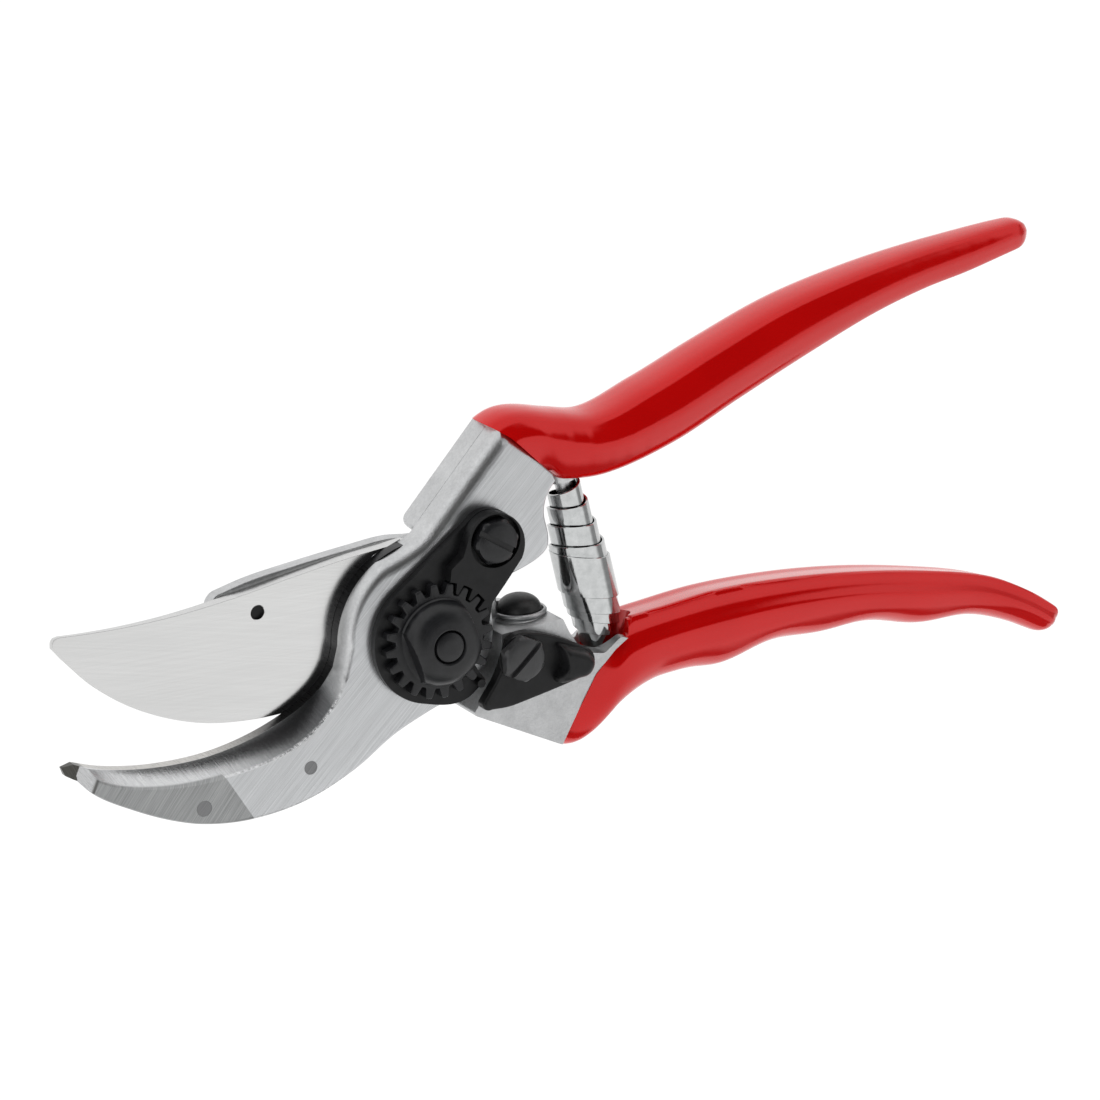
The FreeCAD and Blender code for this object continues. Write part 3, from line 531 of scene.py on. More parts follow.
def blade_steel():
    n = Nodes("blade_steel", Metallic=1.0, Roughness=0.26)
    fine = scratches(n, 4.0, 9.0, 0.03)
    long = scratches(n, 16.0, 3.0, 0.015, (3.0, 8.0, 0.0))
    cloud = n.noise(n.position((0.03, 0.12, 0.1), 14.0), 1.0, 3.0)
    mixed = n.weighed(fine, 0.6, long, 0.4)
    colour = n.mix(n.span(mixed, 0.28, 0.75), (0.53, 0.53, 0.527), (0.64, 0.64, 0.635))
    rough = n.span(n.math("ADD", mixed, cloud), 0.7, 1.3, 0.15, 0.24)
    return n.finished(colour, rough, mixed, 0.16, 0.02)


def anvil_steel():
    """The hook's steel plate: bright along its middle, with painted shade where it runs under the hub, and
    dark at its tip.
    """
    n = Nodes("anvil_steel", Metallic=1.0, Roughness=0.28)
    where = n.position()
    x = n.add("SeparateXYZ", {"Vector": where}).outputs["X"]
    cross = n.span(scratches(n, 75.0, 4.0, 0.3, (2.0, 5.0, 0.0)), 0.3, 0.7)
    bright = n.mix(cross, (0.36, 0.35, 0.335), (0.6, 0.585, 0.56))
    # Painted shade on the plate where it runs under the hub.
    dark = n.mix(cross, (0.02, 0.02, 0.021), (0.05, 0.05, 0.052))
    tone = n.mix(n.span(x, -48.0, -27.0, smooth=True), bright, dark)
    tip = n.mix(cross, (0.06, 0.059, 0.055), (0.1, 0.098, 0.09))
    colour = n.mix(n.span(x, -69.6, -70.4), tone, tip)
    rough = n.span(cross, 0.0, 1.0, 0.24, 0.38)
    return n.finished(colour, rough, cross, 0.2, 0.03)


def rivet_steel():
    n = Nodes("rivet_steel", Metallic=1.0, Roughness=0.4)
    lines = scratches(n, -44.0, 7.0, 0.1, (5.0, 2.0, 0.0))
    colour = n.mix(n.span(lines, 0.3, 0.7), (0.16, 0.162, 0.165), (0.26, 0.262, 0.265))
    rough = n.span(lines, 0.3, 0.7, 0.34, 0.46)
    return n.finished(colour, rough, lines, 0.3, 0.04)


def black_steel():
    n = Nodes("black_steel", Roughness=0.38, IOR=1.33)
    where = n.position()
    cloud = n.noise(where, 0.4, 5.0, 0.7)
    colour = n.mix(n.span(cloud, 0.3, 0.7), (0.004, 0.0042, 0.0046), (0.012, 0.0122, 0.013))
    rough = n.span(n.noise(where, 1.6, 5.0), 0.3, 0.7, 0.3, 0.46)
    return n.finished(colour, rough, n.noise(where, 4.0, 5.0, 0.7), 0.25, 0.05)


def turned_black(name, centre, painted_sheen=0.0):
    """Black steel, lifted by a grey painted sheen, with the fine rings of a facing cut round a centre."""
    n = Nodes(name, Roughness=0.36, IOR=1.42)
    where = n.position(shift=(-centre[0], -centre[1], 0.0))
    flat = n.add("SeparateXYZ", {"Vector": where})
    squares = [n.math("POWER", flat.outputs[k], 2.0) for k in "XY"]
    radius = n.math("POWER", n.math("ADD", *squares), 0.5)
    rings = n.add("CombineXYZ", {"X": n.math("MULTIPLY", radius, 6.0)}).outputs[0]
    lines = n.noise(rings, 1.0, 3.0, 0.7)
    cloud = n.noise(n.position(), 0.5, 4.0)
    # The grey lift is a painted sheen that brightens the whole black.
    dark, pale = ([v + painted_sheen for v in tone] for tone in ((0.004, 0.0042, 0.0048), (0.016, 0.0165, 0.0185)))
    colour = n.mix(n.span(n.math("ADD", lines, cloud), 0.7, 1.3), dark, pale)
    rough = n.span(lines, 0.3, 0.7, 0.26, 0.44)
    return n.finished(colour, rough, lines, 0.35, 0.05)


def rubber():
    n = Nodes("buffer_rubber", Base_Color=(0.012, 0.012, 0.012, 1.0), Roughness=0.42, IOR=1.5)
    where = n.position()
    colour = n.mix(n.noise(where, 0.8, 3.0), (0.008, 0.008, 0.008), (0.02, 0.02, 0.02))
    rough = n.span(n.noise(where, 1.5, 4.0), 0.3, 0.7, 0.36, 0.52)
    return n.finished(colour, rough, n.noise(where, 3.5, 4.0), 0.25, 0.06)


def spring_chrome():
    n = Nodes("spring_chrome", Metallic=1.0, Roughness=0.1)
    lines = n.noise(n.position((0.6, 0.6, 0.6)), 1.0, 4.0)
    colour = n.mix(n.span(lines, 0.3, 0.7), (0.42, 0.43, 0.43), (0.54, 0.55, 0.55))
    rough = n.span(lines, 0.3, 0.7, 0.08, 0.16)
    return n.finished(colour, rough, n.noise(n.position((3.0, 0.4, 3.0), 8.0), 1.0, 2.0), 0.12, 0.03)


def bronze():
    n = Nodes("bush_bronze", Metallic=1.0, Roughness=0.35)
    lines = n.noise(n.position((1.0, 1.0, 6.0)), 1.0, 4.0)
    return n.finished(n.mix(lines, (0.35, 0.22, 0.1), (0.55, 0.38, 0.2)), None, lines, 0.2, 0.04)


RED = red_coating()
ALUMINIUM = forged_aluminium()
GROUND_ALUMINIUM = ground_aluminium()
STEEL = blade_steel()
ANVIL_STEEL = anvil_steel()
RIVET_STEEL = rivet_steel()
BLACK = black_steel()
RUBBER = rubber()
CHROME = spring_chrome()
BRONZE = bronze()
BLACK_PIVOT = turned_black("black_steel_pivot", PIVOT)
# The catch screw's black is lifted as a painted sheen.
BLACK_CATCH = turned_black("black_steel_catch", CATCH_AXIS, 0.035)
BLACK_SEGMENT = turned_black("black_steel_segment", SEGMENT_AXIS)


# ---- grips

# Stations: centre X, Y, half width, half height and direction in degrees. They follow the CAD stations.
ANVIL_STATIONS = [
    (17.0, 28.0, 7.8, 6.6, 44.0), (24.5, 31.1, 7.8, 6.9, 30.0), (31.5, 28.8, 6.9, 7.2, 2.0),
    (39.0, 27.5, 6.4, 7.5, 2.0), (52.5, 30.3, 6.8, 7.8, 15.0), (67.0, 35.2, 6.6, 7.6, 20.0),
    (83.0, 40.2, 6.2, 7.2, 20.0), (99.0, 43.8, 5.0, 6.4, 13.0), (111.0, 45.5, 4.3, 5.6, 8.0),
    (121.0, 46.3, 3.9, 5.0, 5.0), (129.5, 47.1, 3.3, 4.3, 5.0), (136.1, 47.6, 2.8, 3.3, 5.0)]
BLADE_STATIONS = [
    (27.0, -15.0, 11.0, 7.6, -30.0), (33.3, -18.7, 12.6, 7.8, -30.0), (39.5, -15.7, 8.8, 7.9, -14.0),
    (46.5, -14.5, 7.6, 7.9, -3.0), (60.0, -14.3, 7.8, 7.9, 0.0), (75.0, -14.5, 6.7, 7.8, -4.0),
    (90.0, -16.0, 5.7, 7.4, -9.0), (105.0, -19.4, 5.4, 6.6, -14.0), (118.0, -22.6, 4.4, 5.4, -22.0),
    (128.0, -27.0, 3.5, 4.7, -34.0), (136.0, -32.7, 2.9, 3.5, -36.0)]
GRIP_MIDDLE = 8.0
TIP_LENGTH = 3.4
SECTION_POINTS = 96


def grip_sections(stations, section, step=0.7):
    """Closed sections along a grip. section gives its points as shares of the half width and half height."""
    sections = []
    for x, y, wide, tall, degrees in spline(stations, step):
        left = math.dist((x, y), stations[-1][:2])
        share = max(0.0, 1.0 - left / TIP_LENGTH)
        close = max(0.12, math.sqrt(1.0 - share * share))
        wide, tall = wide * close, tall * close
        side = Vector(polar(1.0, degrees + 90.0))
        sections.append([(x + side.x * wide * u, y + side.y * wide * u, GRIP_MIDDLE + tall * v)
                         for u, v in section(x)])
    return sections


def anvil_section(x):
    """A full section with a soft crest along its front and a parting ridge low on its inner side."""
    crest = spline([(14.0, 0.52), (22.0, 0.42), (38.0, 0.24), (60.0, 0.12), (95.0, 0.12), (120.0, 0.18),
                    (137.0, 0.30)], 4.0)
    k = min(range(len(crest) - 1), key=lambda i: abs(crest[i][0] - x))
    crest = crest[k][1]
    shape = [(1.0, -0.1), (0.995, 0.25), (0.94, 0.54)]
    for t in (1.0, 0.75, 0.5, 0.25):
        shape.append((lerp(crest, 0.83, t), 1.0 - 0.26 * t ** 1.5))
    lobe = 0.35 * hump(x, 124.0, 8.0)
    shape += [(crest, 1.0), (crest - 0.06, 1.0),
              (lerp(crest, -0.86, 0.4), 0.9), (lerp(crest, -0.86, 0.75), 0.75),
              (-0.84, 0.58), (-0.93, 0.36), (-0.965, 0.12), (-0.97, 0.0), (-1.02, -0.1),
              (-1.03 - lobe * 0.6, -0.28), (-0.97 - lobe, -0.52), (-0.78 - lobe * 0.5, -0.82), (-0.4, -0.98),
              (0.0, -1.0), (0.4, -0.98), (0.76, -0.83), (0.94, -0.5)]
    return fixed_count(spline(shape, 0.05, closed=True), SECTION_POINTS)


def blade_section(x):
    """A land on the spring side, a groove under a long ridge, and a scalloped lower side for the fingers."""
    fade = ease((x - 50.0) / 12.0) * ease((137.0 - x) / 6.0)
    scallop = 0.075 * fade * math.cos(math.tau * (x - 84.5) / 23.0)
    root = ease((48.0 - x) / 12.0)
    tip = ease((x - 118.0) / 14.0)
    ridge = lerp(0.40, 0.25, tip)
    land = lerp(0.85, 0.93, tip)
    corner = lerp(1.13, 1.0, tip)
    shape = [(0.96, -0.1), (lerp(0.96, corner, 0.55), 0.35), (corner - 0.015, 0.66), (corner, land - 0.07),
             (corner - 0.04, land), (corner - 0.14, land + 0.012), (ridge + 0.38, land - 0.008),
             (ridge + 0.28, land), (ridge + 0.14, lerp(0.92, 0.965, tip)), (ridge + 0.03, 0.985),
             (ridge, 1.0), (ridge - 0.05, 1.0),
             (ridge - 0.35, lerp(0.94, 1.0, root)), (-0.28, lerp(0.84, 1.0, root)),
             (-0.56 - scallop * 0.6, lerp(0.68, 0.93, root)), (-0.78 - scallop, lerp(0.44, 0.78, root)),
             (-0.93 - scallop, lerp(0.12, 0.45, root)), (-0.985 - scallop, lerp(-0.2, 0.0, root)),
             (-0.90 - scallop * 0.8, -0.6), (-0.62, -0.9), (-0.2, -1.0), (0.25, -1.0), (0.68, -0.9),
             (0.90, -0.55)]
    return fixed_count(spline(shape, 0.05, closed=True), SECTION_POINTS)


def fixed_count(points, count):
    """A closed loop read again at a fixed number of points."""
    loop = points + points[:1]
    lengths = [0.0]
    for a, b in zip(loop, loop[1:]):
        lengths.append(lengths[-1] + math.dist(a, b))
    result = []
    k = 0
    for i in range(count):
        target = lengths[-1] * i / count
        while lengths[k + 1] < target:
            k += 1
        share = (target - lengths[k]) / max(lengths[k + 1] - lengths[k], 1e-9)
        result.append(tuple(lerp(a, b, share) for a, b in zip(loop[k], loop[k + 1])))
    return result


def prism(points, low, high):
    """A cutting tool with an outline in plan, between two levels."""
    return ring_solid("tool", [[[(x, y, low) for x, y in points], [(x, y, high) for x, y in points]]])


LOWER_SEAT = Vector((37.7, -14.6))
UPPER_SEAT = Vector((32.75, 21.6))
SPRING_AXIS = (UPPER_SEAT - LOWER_SEAT).normalized()
ANVIL_GRIP_EDGE = [(9.0, 41.0), (17.4, 36.0), (20.0, 33.9), (28.0, 25.0), (31.0, 18.0), (0.0, 10.0)]
BLADE_GRIP_EDGE = [(40.5, -3.0), (40.0, -9.3), (36.6, -11.2), (32.0, -15.0), (28.0, -20.6), (24.6, -25.6),
                   (21.0, -31.0), (0.0, -31.0), (0.0, -3.0)]


def along(point, degrees):
    """A frame in metres at the spring's level, whose Z runs in a direction in plan."""
    turn = Matrix.Rotation(math.radians(degrees), 4, "Z") @ Matrix.Rotation(math.radians(90.0), 4, "Y")
    return Matrix.Translation(Vector((point[0], point[1], SPRING_LEVEL)) * MM) @ turn


def turned_along(name, profile, point, degrees, count, sharp=30.0):
    """A turned piece that stands on a point in plan and runs in a direction."""
    made = lathe(name, profile, count=count, sharp=sharp)
    made.data.transform(along(point, degrees))
    return made


def spring_hollow():
    """The room for the spring round its axis, which widens away from its lower seat."""
    profile = [(0.0, -0.1), (3.5, -0.1), (3.8, 0.6), (4.5, 2.2), (5.2, 3.8), (5.8, 5.2), (6.4, 7.5),
               (6.9, 14.0), (0.0, 14.0)]
    return turned_along("tool", profile, LOWER_SEAT, HOLLOW_DEGREES, 48)


def anvil_grip():
    skin = loft("anvil_grip_coating", grip_sections(ANVIL_STATIONS, anvil_section))
    return carve(skin, prism(ANVIL_GRIP_EDGE, -2.0, 22.0))


def blade_grip():
    skin = loft("blade_grip_coating", grip_sections(BLADE_STATIONS, blade_section))
    return carve(skin, prism(BLADE_GRIP_EDGE, -2.0, 22.0), spring_hollow())


place(anvil_grip(), RED, "anvil_side", "red_coating", "anvil_grip", even=False)
place(blade_grip(), RED, "blade_side", "red_coating", "blade_grip", even=False)


# ---- anvil side

HOOK_EDGE = [(-19.1, -2.0), (-22.3, -5.4), (-30.3, -9.6), (-42.8, -12.4), (-55.4, -12.1), (-66.0, -9.8),
             (-71.5, -7.6)]
HOOK_BACK = [(-69.4, -13.2), (-62.2, -18.2), (-54.8, -22.2), (-48.7, -24.5), (-39.8, -26.0), (-28.4, -25.3),
             (-17.7, -21.8), (-9.1, -17.2), (0.0, -14.0)]
TIP_RIVET = (-48.7, -21.2)
HEEL_RIVET = (-26.9, -18.9)
RIVETS = ((TIP_RIVET, 1.5), (HEEL_RIVET, 1.3))
HEEL = heel_rim(25.2)
NECK = [(23.7, 9.7), (25.6, 11.2), (26.0, 13.2), (25.6, 18.2), (26.6, 21.2), (28.6, 23.6)]
SEAM = [(28.1, 25.0), (24.0, 29.6), (20.2, 33.8)]
WALL = ((18.4, 35.9), (2.3, 20.7))
WALL_PARTS = 24
HUB_CORNER = [WALL[1], (0.2, 18.8), (-3.0, 17.4), outer_rim(118.0)]
NECK_STEPS = (("curve", *NECK), ("line", SEAM[0]), ("line", SEAM[-1]), ("line", WALL[0]), ("line", WALL[1]))


def edged(points, width, drop, form):
    """Points that carry the width, height and form of the front edge along them."""
    return [(p[0], p[1], width, drop, form) for p in points]


def smoothed(values, passes):
    """Values round a loop, each averaged with its neighbours a number of times."""
    count = len(values)
    for _ in range(passes):
        values = [(values[i - 1] + values[i] + values[(i + 1) % count]) / 3 for i in range(count)]
    return values


def anvil_front():
    """The hook, hub and neck of the front layer, whose edge is round by the wall and ground on the hook."""
    wall = [tuple(lerp(a, b, i / WALL_PARTS) for a, b in zip(*WALL)) for i in range(WALL_PARTS + 1)]
    slope = [(2.2, 2.7, 0.4), (3.4, 2.9, 1.2), (4.9, 2.95, 2.0), (4.1, 2.95, 2.0), (3.7, 2.95, 1.8),
             (2.6, 2.6, 1.6), (0.8, 1.6, 1.2)]
    points = edged(spline([HEEL] + NECK, 0.5), 0.5, 0.5, 0.0)
    points += edged(SEAM, 0.1, 0.1, 0.0)
    points += edged(wall, 3.3, 2.9, 0.0)
    points += edged(spline(HUB_CORNER, 0.5)[1:], 2.9, 2.9, 0.0)
    points += edged(arc(outer_rim(118.0), outer_rim(148.0), outer_rim(174.0), 0.5)[1:], 2.2, 2.7, 0.1)
    points += spline([p + e for p, e in zip(HOOK_EDGE, slope)], 0.5)
    points += edged(spline([(-71.5, -10.6)] + HOOK_BACK, 0.6), 0.8, 1.1, 0.3)
    points += edged(spline([HOOK_BACK[-1], (3.4, -12.9), front_hub(-58.0)], 0.6)[1:], 0.6, 0.7, 0.0)
    points += edged(arc(front_hub(-58.0), front_hub(-20.0), front_hub(22.0), 0.6)[1:], 0.4, 0.4, 0.0)
    plan = [p[:2] for p in points]
    width, drop, form = (smoothed([p[k] for p in points], 5) for k in (2, 3, 4))
    holes = [bore(c, r, FRONT_LOW, FRONT_TOP, 0.0) for c, r in RIVETS]
    rings = edge_rings(plan, FRONT_LOW, FRONT_TOP, 0.0, drop, width=width, shape=form, parts=7)
    return ring_solid("anvil_front", [rings] + holes, 30.0)


def shear(piece, start, end, level, degrees):
    """Grind a piece down to a plane, which holds the line from start to end and falls on its right side."""
    run = Vector((end[0] - start[0], end[1] - start[1], 0.0)).normalized()
    right = Vector((run.y, -run.x, 0.0))
    turn = math.radians(degrees)
    work = bmesh.new()
    work.from_mesh(piece.data)
    parts = work.verts[:] + work.edges[:] + work.faces[:]
    bmesh.ops.bisect_plane(work, geom=parts, dist=1e-7, clear_outer=True,
                           plane_co=Vector((start[0], start[1], level)) * MM,
                           plane_no=right * math.sin(turn) + Vector((0.0, 0.0, math.cos(turn))))
    rim = [edge for edge in work.edges if len(edge.link_faces) == 1]
    bmesh.ops.triangle_fill(work, use_beauty=True, use_dissolve=False, edges=rim)
    for edge in rim:
        edge.smooth = False
    bmesh.ops.recalc_face_normals(work, faces=work.faces)
    work.to_mesh(piece.data)
    work.free()
    return piece


def ground(piece):
    """The hook's front face is ground down towards its tip, and its end is cut off at a slant."""
    shear(piece, FACET_START, FACET_END, FRONT_TOP, 1.3)
    return shear(piece, (-68.0, -11.0), (-69.0, -12.8), FRONT_TOP - 0.3, 35.0)


def anvil_neck():
    """The neck behind the front layer, which the blade side swings under."""
    lower = outline(HEEL, *NECK_STEPS, ("arc", (1.8, 19.4), (2.3, 18.2)), ("line", heel_rim(78.0)),
                    ("arc", heel_rim(50.0), HEEL))
    upper = outline(HEEL, *NECK_STEPS, ("curve", *HUB_CORNER[1:]), ("line", outer_rim(96.0)),
                    ("line", steel_hub(70.0)), ("arc", steel_hub(45.0), steel_hub(20.0)), ("line", HEEL))
    back = ring_solid("anvil_neck", [edge_rings(lower, WEB_LOW, STEEL_LOW, 1.0, 0.25, parts=4)])
    front = ring_solid("anvil_neck_front", [edge_rings(upper, STEEL_LOW, FRONT_LOW, 0.25, 0.0, parts=2)])
    return joined(back, front)


def joined(first, *others):
    """One piece from several, keeping the first one's name."""
    work = bmesh.new()
    for piece in (first,) + others:
        work.from_mesh(piece.data)
    work.to_mesh(first.data)
    work.free()
    for piece in others:
        bpy.data.objects.remove(piece)
    return first


def stud(point, degrees, seat_length):
    """The spring's peg, and the round seat that carries it."""
    profile = [(0.0, -seat_length), (2.95, -seat_length), (2.95, -0.35), (2.85, -0.02), (1.7, -0.01),
               (1.7, 2.2), (1.5, 2.5), (0.0, 2.5)]
    return turned_along("peg", profile, point, degrees, 48)


anvil_body = joined(ground(anvil_front()), anvil_neck(), stud(UPPER_SEAT, SPRING_DEGREES + 180.0, 2.4))
anvil_body.name = "anvil_forging"
place(anvil_body, GROUND_ALUMINIUM, "anvil_side", "forged_aluminium", "anvil_handle")


def rivet(name, centre, radius):
    radius, top = radius - 0.03, FRONT_TOP - 0.02
    return ground(lathe(name, [(0.0, 8.1), (radius, 8.1), (radius, top), (0.0, top)], centre, 40))


def anvil_plate():
    """The steel plate under the front layer, which stands out a little along the hook's edge."""
    back = [(-68.8, -12.3), (-61.7, -17.0), (-54.5, -20.9), (-48.5, -23.1), (-39.8, -24.6), (-28.8, -23.9),
            (-18.4, -20.5), (-9.6, -16.0), (-1.5, -12.6)]
    plan = outline(outer_rim(118.0), ("arc", outer_rim(148.0), outer_rim(176.0)),
                   ("curve", *HOOK_EDGE), ("line", (-73.6, -8.0)), ("line", (-73.2, -9.5)), ("curve", *back),
                   ("curve", (2.6, -12.0), steel_hub(-62.0)), ("arc", steel_hub(0.0), steel_hub(70.0)),
                   ("line", outer_rim(96.0)), ("arc", outer_rim(107.0), outer_rim(118.0)))
    loops = [edge_rings(plan, STEEL_LOW, FRONT_LOW, 0.12, 0.05, parts=2)]
    loops += [bore(c, r, STEEL_LOW, FRONT_LOW) for c, r in ((PIVOT, 4.0),) + RIVETS]
    return ground(ring_solid("anvil_plate", loops, 30.0))


place(anvil_plate(), ANVIL_STEEL, "anvil_side", "blade_steel", "anvil_blade")
place(rivet("rivet_at_tip", *RIVETS[0]), RIVET_STEEL, "anvil_side", "blade_steel", "tip_rivet")
place(rivet("rivet_at_heel", *RIVETS[1]), RIVET_STEEL, "anvil_side", "blade_steel", "heel_rivet")


TEETH = 20


def gear_outline():
    """Twenty teeth with straight flanks and rounded roots and tips."""
    points = []
    flank = [(9.0, 7.2), (9.15, 5.9), (10.55, 3.9), (10.9, 3.1), (11.0, 1.2)]
    for i in range(TEETH):
        middle = 360.0 / TEETH * i
        points += [polar(radius, middle - turn) for radius, turn in flank]
        points += [polar(radius, middle + turn) for radius, turn in flank[::-1]]
    return points


def dome_radius(radius, turn, level):
    """The wrench flats of the dome."""
    if level < 17.3:
        return radius
    return min(radius, 6.3 / max(abs(math.cos(turn - math.radians(15.0))), 1e-3))


def pivot_nut():
    gear = ring_solid("pivot_nut_gear", [edge_rings(gear_outline(), GEAR_LOW, GEAR_TOP, 0.1, 0.22, parts=3),
                                         bore(PIVOT, 3.3, GEAR_LOW, GEAR_TOP, 0.05, 0.05)])
    seat = lathe("seat", [(3.2, FRONT_TOP), (8.8, FRONT_TOP), (8.8, GEAR_LOW), (3.2, GEAR_LOW)])
    profile = [(3.0, 17.1), (8.35, 17.1), (8.35, 17.35), (8.1, 17.6), (8.05, 18.0)]
    for i in range(1, 15):
        turn = math.pi / 2 * i / 15
        profile.append((3.55 + 4.5 * math.cos(turn) ** 0.86, 18.0 + 3.3 * math.sin(turn)))
    profile += [(3.5, 21.35), (3.25, 21.25), (3.1, 21.0), (3.05, 20.4), (3.0, 20.0)]
    dome = lathe("dome", profile, count=180, sharp=24.0, wobble=dome_radius)
    return joined(gear, seat, dome)


def bolt():
    profile = [(0.0, 0.0), (6.7, 0.0), (7.2, 0.5), (7.2, 1.95), (4.0, 1.95), (4.0, 13.5), (2.9, 13.6),
               (2.9, 21.0), (2.75, 21.35), (2.4, 21.5), (1.2, 21.6), (0.0, 21.62)]
    return lathe("pivot_bolt_turned", profile, count=72)


place(pivot_nut(), BLACK_PIVOT, "anvil_side", "black_steel", "pivot_nut").name = "pivot_nut_geared"
place(bolt(), BLACK_PIVOT, "anvil_side", "black_steel", "pivot_bolt")


# ---- blade side

BLADE_HOLE = (-31.5, 11.0)
HUB_WALL = [(13.4, -2.4), (12.9, -6.6), (10.4, -10.8), (7.9, -14.1)]


def cutting_blade():
    """Flat front, thinning towards the tip, with a long bevel on the back of the cutting edge."""
    points = edged(arc(blade_hub(232.0), blade_hub(320.0), blade_hub(88.0), 0.7), 0.2, 0.2, 0.0)
    points += edged(spline([(-0.4, 17.3), (-12.0, 16.9), (-24.0, 16.0), (-36.0, 14.9), (-48.0, 14.4),
                            (-58.0, 14.7), (-66.0, 15.4), (-70.5, 15.95)], 1.0), 0.5, 0.5, 0.0)
    points += edged(spline([(-71.4, 15.8), (-71.9, 15.2), (-72.1, 14.0)], 0.4), 0.2, 0.3, 0.0)
    edge = [(-70.8, 12.0, 2.0, 2.6, 1.0), (-65.2, 5.2, 7.0, 2.85, 1.0), (-56.7, -1.6, 9.0, 2.9, 1.0),
            (-45.4, -6.9, 9.0, 2.92, 1.0), (-34.5, -9.0, 9.0, 2.92, 1.0), (-24.0, -9.3, 8.5, 2.9, 1.0),
            (-14.0, -9.0, 4.0, 2.0, 1.0), (*blade_hub(233.0), 0.5, 0.5, 0.5)]
    points += spline(edge, 0.8)[:-1]
    plan = [p[:2] for p in points]
    width, drop, form = ([p[k] for p in points] for k in (2, 3, 4))

    def turned_over(ring):
        """The ring seen from its other side, on a blade that thins towards its tip."""
        return [(x, y, BLADE_FRONT - (z + BLADE_FRONT) * lerp(1.0, 0.38, ease((-26.0 - x) / 46.0)))
                for x, y, z in ring]
    loops = [edge_rings(plan, -BLADE_FRONT, -WEB_TOP, 0.06, drop, width=width, shape=form, parts=6)]
    loops += [bore(c, r, -BLADE_FRONT, -WEB_TOP, 0.12, 0.1, 40)
              for c, r in ((PIVOT, BUSH_RADIUS), (BLADE_HOLE, 1.35))]
    return ring_solid("cutting_blade_ground", [[turned_over(ring) for ring in loop] for loop in loops], 20.0)


place(cutting_blade(), STEEL, "blade_side", "blade_steel", "cutting_blade")


WEB_BACK = (("arc", web_rim(-135.0), web_rim(-167.5)), ("curve", (-22.5, 1.2), (-31.0, 6.0), (-37.5, 9.2)),
            ("arc", (-39.7, 12.0), (-37.6, 15.2)))
WEB_SPINE = ((-30.9, 16.3), (-22.3, 16.9), (-10.4, 17.4), (-2.6, 17.5))
SHOULDER_STEPS = (("line", (26.2, -2.4)), ("curve", (27.6, -6.0), (30.4, -10.0), (34.2, -11.4)),
                  ("line", (38.0, -9.0)), ("line", (41.2, -10.5)), ("line", (42.5, -17.0)),
                  ("line", (34.0, -24.5)), ("line", (26.5, -27.4)), ("line", (23.5, -26.9)))


def blade_web():
    """The thin plate that lies against the back of the cutting blade."""
    return outline(web_core(-90.0), ("line", web_rim(-100.0)), *WEB_BACK,
                   ("curve", *WEB_SPINE, web_rim(86.0)), ("line", web_core(80.0)),
                   ("arc", web_core(0.0), web_core(-90.0)))


def blade_body():
    """The forged half under the blade: web, heel rim, shoulder and stop boss, blended into one skin."""
    web = outline(web_rim(-90.0), *WEB_BACK, ("curve", *WEB_SPINE, web_rim(84.0)),
                  ("arc", web_rim(45.0), web_rim(2.0)), *SHOULDER_STEPS, ("line", (5.8, -16.6)),
                  ("line", web_rim(-90.0)))
    rim = outline(web_rim(-90.0), ("arc", web_rim(0.0), web_rim(90.0)), ("line", rim_bore(90.0)),
                  ("arc", rim_bore(0.0), rim_bore(-90.0)), ("line", web_rim(-90.0)))
    shoulder = outline((13.0, -2.4), *SHOULDER_STEPS, ("line", (6.1, -16.6)), ("line", (7.4, -14.1)),
                       ("curve", (10.0, -10.8), (12.4, -6.6), (13.0, -2.4)))
    core = [p for p in web if p[0] > -6.0]
    body = ring_solid("blade_forging", [edge_rings(core, WEB_LOW, WEB_TOP, 0.3, 0.1)])
    stop_boss = [(0.0, -8.0), (7.0, -8.0), (6.6, -4.6), (5.4, -4.2), (5.4, -1.6), (0.0, -1.6)]
    pieces = [ring_solid("rim", [edge_rings(rim, WEB_TOP - 0.2, BLADE_FRONT, 0.1, 0.4)]),
              ring_solid("shoulder", [edge_rings(shoulder, WEB_TOP - 0.2, 16.4, 0.1, 0.2)])]
    unite(body, turned_along("boss", stop_boss, STOP_SEAT, STOP_DEGREES, 48), *pieces)
    change = body.modifiers.new("skin", "REMESH")
    change.mode = "VOXEL"
    change.voxel_size = 0.36 * MM
    change = body.modifiers.new("soften", "SMOOTH")
    change.factor = 0.6
    change.iterations = 6
    apply_modifiers(body)
    unite(body, ring_solid("web", [edge_rings(blade_web(), WEB_LOW, WEB_TOP, 0.4, 0.3)]))
    for polygon in body.data.polygons:
        polygon.use_smooth = True
    top = outline((-80.0, -60.0), ("line", (80.0, -60.0)), ("line", (80.0, 60.0)), ("line", (-80.0, 60.0)))
    hub = outline((13.4, 6.0), ("line", HUB_WALL[0]), ("curve", *HUB_WALL[1:]), ("line", (4.0, -19.0)),
                  ("line", (-60.0, -30.0)), ("line", (-60.0, 30.0)), ("line", front_hub(90.0)),
                  ("arc", front_hub(60.0), front_hub(30.0)))
    grip_side = BLADE_GRIP_EDGE[:-2] + [(60.0, -31.0), (60.0, -3.0)]
    return carve(body, prism(top, SHOULDER_TOP, ABOVE), prism(hub, WEB_TOP, ABOVE),
                 prism(circle(PIVOT, BUSH_RADIUS), BELOW, 10.0), prism(circle(CATCH_AXIS, 2.2), BELOW, ABOVE),
                 prism(circle(CATCH_AXIS, 4.3), BELOW, 4.3), prism(grip_side, BELOW, ABOVE), spring_hollow())


def stop_rim():
    """The turned rim that holds the rubber stop."""
    profile = [(2.7, -4.0), (4.9, -4.0), (5.35, -1.9), (5.45, -1.5), (5.2, -1.1), (4.75, -0.9), (5.1, -0.7),
               (5.2, -0.3), (5.0, 0.0), (4.65, 0.05), (4.5, -0.1), (4.45, -1.2), (2.7, -1.2)]
    return turned_along("stop_rim", profile, STOP_SEAT, STOP_DEGREES, 72, 50.0)


